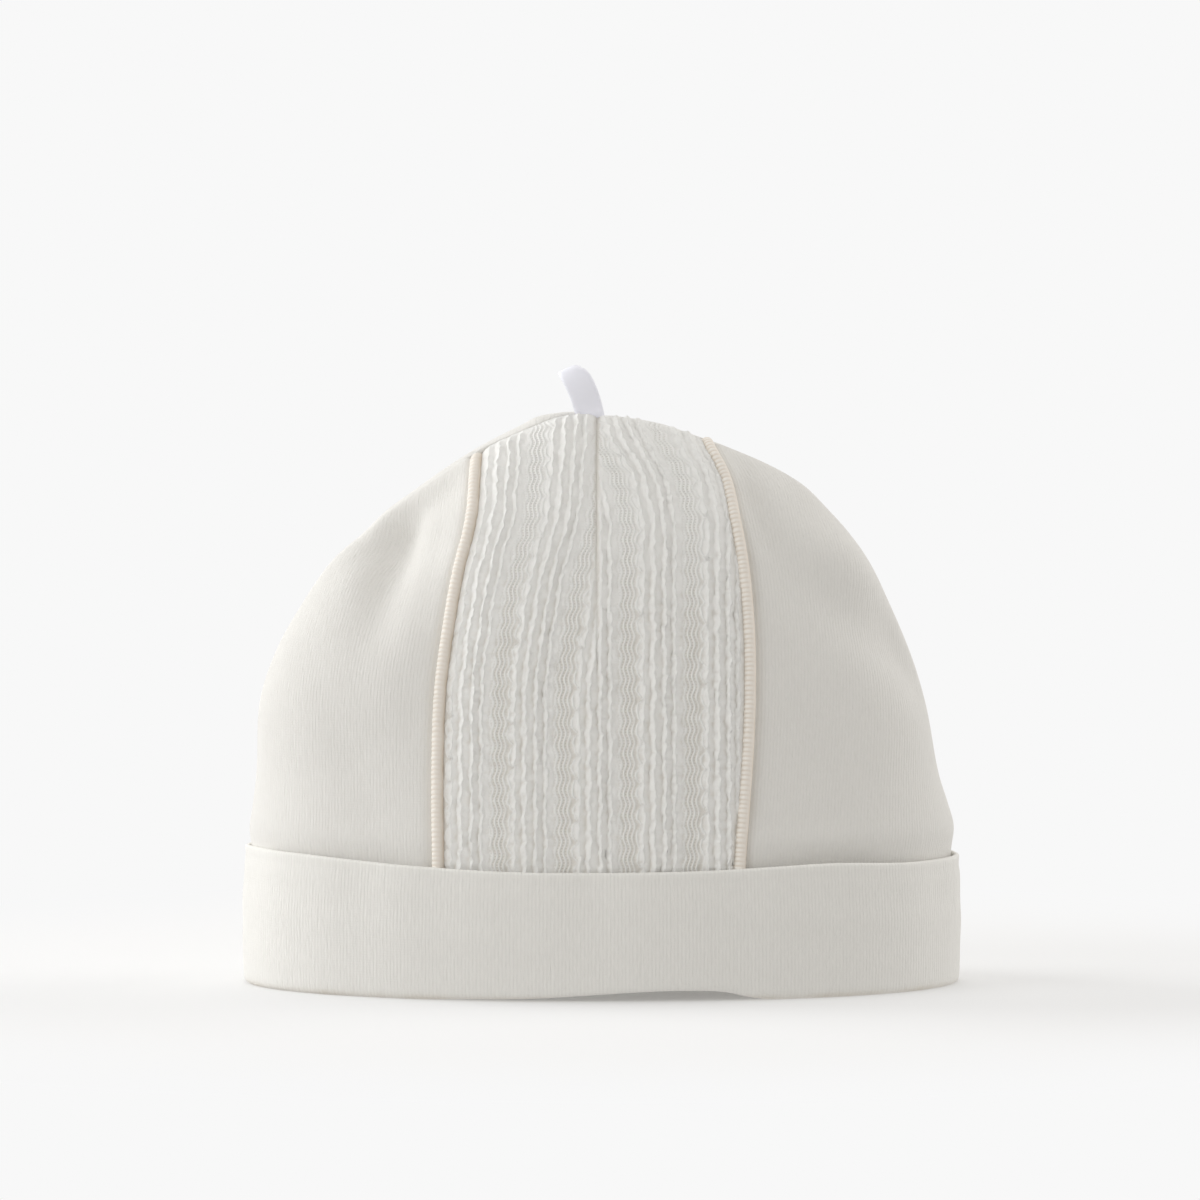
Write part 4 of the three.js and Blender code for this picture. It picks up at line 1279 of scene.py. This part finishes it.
class NIGHTCAP_OT_hanging_loop(PieceOperator, bpy.types.Operator):
    """Fold the satin ribbon into a loop and stand it in the seam on top"""

    bl_idname = "nightcap.hanging_loop"
    bl_label = "Hanging loop"

    def build(self, scene, sizes, knit, form):
        half = sizes.loop_thickness / 2 - sizes.ribbon_wall / 2
        height = sizes.loop_height - sizes.ribbon_wall / 2
        tail = 3.5 * MM
        steps, columns = 90, 15
        # The ribbon's path seen from its side: distance from the middle plane, and way up. It bends round the
        # top as far as round_turn to each side, and then runs straight down to its tails.
        round_turn, sag, slope, widest, foot_share = 1.2, 0.16, 0.44, 0.72, 0.16
        turn = np.linspace(0, 2 * math.pi, steps)
        away = turn - math.pi
        upwards = np.where(
            np.abs(away) < round_turn,
            1 - sag * (1 - np.cos(away)),
            1 - sag * (1 - math.cos(round_turn)) - (np.abs(away) - round_turn) * slope,
        )
        low = upwards.min()
        upwards = (upwards - low) / (1 - low)
        z_path = -tail + (height + tail) * upwards
        above = np.clip(z_path / height, 0, 1)
        rising = np.sin(np.clip(above / widest, 0, 1) * math.pi / 2) ** 1.6
        crown = np.sqrt(np.clip(1 - ((above - widest) / (1 - widest)) ** 2, 0, 1))
        width = np.where(above > widest, crown, foot_share + (1 - foot_share) * rising)
        y_path = -np.sign(math.pi - turn) * half * width
        path = np.stack([y_path, z_path], axis=-1)
        tangent = unit(np.gradient(path, axis=0))
        normal = np.stack([tangent[:, 1], -tangent[:, 0]], axis=-1)
        across = np.linspace(-0.5, 0.5, columns)
        sheets = []
        for face in (0.5, -0.5):
            edge_soft = np.sqrt(np.clip(1 - (np.abs(across) * 2) ** 16, 0, 1)) * 0.7 + 0.3
            offset = face * sizes.ribbon_wall * edge_soft
            y = path[:, None, 0] + offset[None, :] * normal[:, None, 0]
            z = path[:, None, 1] + offset[None, :] * normal[:, None, 1]
            x = across[None, :] * sizes.ribbon_width + 0 * y
            sheets.append(np.stack([x, y, z], axis=-1))
        grid = np.concatenate(sheets)
        # The loop leans to the left, more at its top, and its edges curl back a little.
        ribbon_x, ribbon_z = grid[..., 0], grid[..., 2]
        share = np.clip(ribbon_z / height, -0.3, 1)
        curl = 0.35 * MM * (ribbon_x / (sizes.ribbon_width / 2)) ** 2 * np.clip(share, 0, 1)
        foot_lean, more_lean = 13, 9
        lean = np.radians(foot_lean + more_lean * share)
        right = np.clip(2 * ribbon_x / sizes.ribbon_width, 0, 1) ** 2
        left = np.clip(-2 * ribbon_x / sizes.ribbon_width, 0, 1) ** 5
        corner = MM * np.clip(share, 0, 1) ** 5
        x = ribbon_x * np.cos(lean) - ribbon_z * np.sin(lean) - 0.5 * corner * right
        z = ribbon_z * np.cos(lean) + ribbon_x * np.sin(lean) - corner * (1.4 * right + 0.25 * left)
        loop_x = -0.035 * form.half_width
        foot_z = float(form.ridge_height(lambda height: np.full_like(height, loop_x), 1)[0, 0])
        foot_y = -float(form.seam_forward(loop_x))
        points = np.stack([x + loop_x, grid[..., 1] + curl + foot_y, z + foot_z + sizes.puff], axis=-1)
        over = np.arange(steps * columns).reshape(steps, columns)
        under = over + steps * columns
        faces = grid_quads(over) + grid_quads(under, turned=True)
        borders = (
            (over[:, 0], under[:, 0], False),
            (over[:, -1], under[:, -1], True),
            (over[0], under[0], True),
            (over[-1], under[-1], False),
        )
        for outer, inner, turned in borders:
            faces += quads((outer[1:], outer[:-1], inner[:-1], inner[1:]), turned)
        way = arc_length(np.concatenate((np.zeros((steps, 1)), path), axis=1)[None], axis=1)[0]
        uv = np.stack(np.broadcast_arrays(across[None, :] * sizes.ribbon_width, way[:, None]), axis=-1)
        uv = np.concatenate((uv, uv)).reshape(-1, 2)
        piece = finish_mesh(
            "satin_hanging_loop", points.reshape(-1, 3), faces, material_for("satin_ribbon", scene), uv
        )
        settle(piece, "hanging_loop")


# Stage


class NightcapStudio(bpy.types.PropertyGroup):
    """Where the camera stands, and how strong each lamp is."""

    elevation: number_value("Elevation", "Camera's height over the cap, in degrees", 3.6)
    distance: length_value("Distance", "Camera to the middle of the cap", 2.0)
    view_width: length_value("View width", "Width of the view at the cap", 0.2664)
    lamp_distance: length_value("Lamp distance", "Every lamp to the middle of the cap", 2.4)
    lamp_size: length_value("Lamp size", "Width of each round soft lamp", 1.5)
    key: number_value("Key lamp", "Power of the low lamp at the left, in watts", 30.0)
    window: number_value("Window lamp", "Power of the lamp left of the camera, in watts", 13.5)
    rim: number_value("Rim lamp", "Power of the low lamp at the right, in watts", 15.0)
    top: number_value("Top lamp", "Power of the lamp over the cap, a little behind it, in watts", 8.0)
    world: number_value("World light", "Strength of the even light all round", 0.64)


# Where each lamp stands: degrees round from the camera, to the right, and degrees up.
LAMPS = table(
    "name power round up colour",
    ("soft_lamp_left", "key", -111, 16, (0.97, 0.985, 1)),
    ("soft_lamp_window", "window", -60, 16, (0.97, 0.985, 1)),
    ("soft_lamp_right", "rim", 111, 16, (1, 0.99, 0.975)),
    ("soft_lamp_top", "top", 180, 74, (1, 0.99, 0.975)),
)


class NIGHTCAP_OT_stage(bpy.types.Operator):
    """Set up the camera, the paper sweep and the lamps"""

    bl_idname = "nightcap.stage"
    bl_label = "Stage"

    def execute(self, context):
        scene = context.scene
        studio = scene.nightcap_studio
        self.camera(scene, studio)
        self.sweep(scene)
        for row in LAMPS:
            self.lamp(row, studio)
        world = bpy.data.worlds.new("even studio light")
        world.use_nodes = True
        background = world.node_tree.nodes["Background"]
        background.inputs["Color"].default_value = (1, 0.987, 0.968, 1)
        background.inputs["Strength"].default_value = studio.world
        scene.world = world
        scene.view_settings.view_transform = "Standard"
        scene.view_settings.look = "None"
        return {"FINISHED"}

    def camera(self, scene, studio):
        """The camera looks along +Y from the photograph's height over the cap."""
        tilt = math.radians(studio.elevation)
        picture_width = 1200
        pixel = studio.view_width / picture_width
        # Where the photograph shows the middle of the floor under the cap, in pixels.
        floor_middle_x, floor_middle_y = 601.5, 981
        right = (picture_width / 2 - floor_middle_x) * pixel
        up = (floor_middle_y - picture_width / 2) * pixel
        data = bpy.data.cameras.new("camera")
        data.sensor_width = 36
        data.lens = data.sensor_width * studio.distance / studio.view_width
        data.clip_end = 50
        camera = bpy.data.objects.new("camera", data)
        camera.location = (
            right,
            up * math.sin(tilt) - studio.distance * math.cos(tilt),
            up * math.cos(tilt) + studio.distance * math.sin(tilt),
        )
        camera.rotation_euler = (math.pi / 2 - tilt, 0, 0)
        scene.collection.objects.link(camera)
        scene.camera = camera

    def sweep(self, scene):
        """A round paper sweep that curves up into a wall all the way round."""
        around, flat_radius, bend, wall = 96, 2.2, 0.8, 2.5
        profile = [(flat_radius / 2, 0.0), (flat_radius, 0.0)]
        for turn in np.linspace(0, math.pi / 2, 13)[1:]:
            profile.append((flat_radius + bend * math.sin(turn), bend * (1 - math.cos(turn))))
        profile.append((flat_radius + bend, wall))
        radii, heights = np.array(profile).T[..., None]
        turns = np.linspace(0, 2 * math.pi, around, endpoint=False)
        rings = np.stack([radii * np.cos(turns), radii * np.sin(turns), heights + 0 * turns], axis=-1)
        index = np.arange(1, 1 + len(profile) * around).reshape(len(profile), around)
        faces = [(0, 1 + k, 1 + (k + 1) % around) for k in range(around)]
        faces += grid_quads(np.concatenate((index, index[:, :1]), axis=1))
        mesh = bpy.data.meshes.new("paper_sweep")
        mesh.from_pydata([(0, 0, 0), *rings.reshape(-1, 3).tolist()], [], faces)
        mesh.polygons.foreach_set("use_smooth", [True] * len(mesh.polygons))
        mesh.materials.append(paper_material(scene.nightcap_colours))
        floor = bpy.data.objects.new("paper_sweep", mesh)
        scene.collection.objects.link(floor)
        floor.visible_diffuse = False

    def lamp(self, row, studio):
        """A round soft lamp that looks at the middle of the cap."""
        data = bpy.data.lights.new(row["name"], "AREA")
        data.energy = getattr(studio, row["power"])
        data.shape = "DISK"
        data.size = studio.lamp_size
        data.color = row["colour"]
        turn = math.radians(row["round"])
        up = math.radians(row["up"])
        flat = studio.lamp_distance * math.cos(up)
        aim_height = 0.06
        lamp = bpy.data.objects.new(row["name"], data)
        lamp.location = (
            flat * math.sin(turn),
            -flat * math.cos(turn),
            studio.lamp_distance * math.sin(up) + aim_height,
        )
        lamp.rotation_euler = (math.pi / 2 - up, 0, turn)
        lamp.visible_camera = False
        bpy.context.collection.objects.link(lamp)


OPERATORS = (
    NIGHTCAP_OT_stage,
    NIGHTCAP_OT_centre_panel,
    NIGHTCAP_OT_side_panels,
    NIGHTCAP_OT_back_panel,
    NIGHTCAP_OT_pipings,
    NIGHTCAP_OT_cuff,
    NIGHTCAP_OT_hanging_loop,
)
GROUPS = {
    "nightcap_sizes": NightcapSizes,
    "nightcap_knit": NightcapKnit,
    "nightcap_colours": NightcapColours,
    "nightcap_studio": NightcapStudio,
}


class NIGHTCAP_PT_sidebar(bpy.types.Panel):
    """Lists the pieces of the nightcap and their values"""

    bl_idname = "NIGHTCAP_PT_sidebar"
    bl_label = "Nightcap"
    bl_space_type = "VIEW_3D"
    bl_region_type = "UI"
    bl_category = "Nightcap"

    def draw(self, context):
        layout = self.layout
        for operator in OPERATORS:
            layout.operator(operator.bl_idname)
        for label, group in GROUPS.items():
            box = layout.box()
            for name in group.__annotations__:
                box.prop(getattr(context.scene, label), name)


def register():
    for group in (*GROUPS.values(), *OPERATORS, NIGHTCAP_PT_sidebar):
        bpy.utils.register_class(group)
    for label, group in GROUPS.items():
        setattr(bpy.types.Scene, label, bpy.props.PointerProperty(type=group))


def unregister():
    for label in GROUPS:
        delattr(bpy.types.Scene, label)
    for group in (NIGHTCAP_PT_sidebar, *OPERATORS, *GROUPS.values()):
        bpy.utils.unregister_class(group)


def main():
    register()
    bpy.ops.nightcap.stage()
    bpy.ops.nightcap.centre_panel()
    bpy.ops.nightcap.side_panels()
    bpy.ops.nightcap.back_panel()
    bpy.ops.nightcap.pipings()
    bpy.ops.nightcap.cuff()
    bpy.ops.nightcap.hanging_loop()


if __name__ == "__main__":
    main()
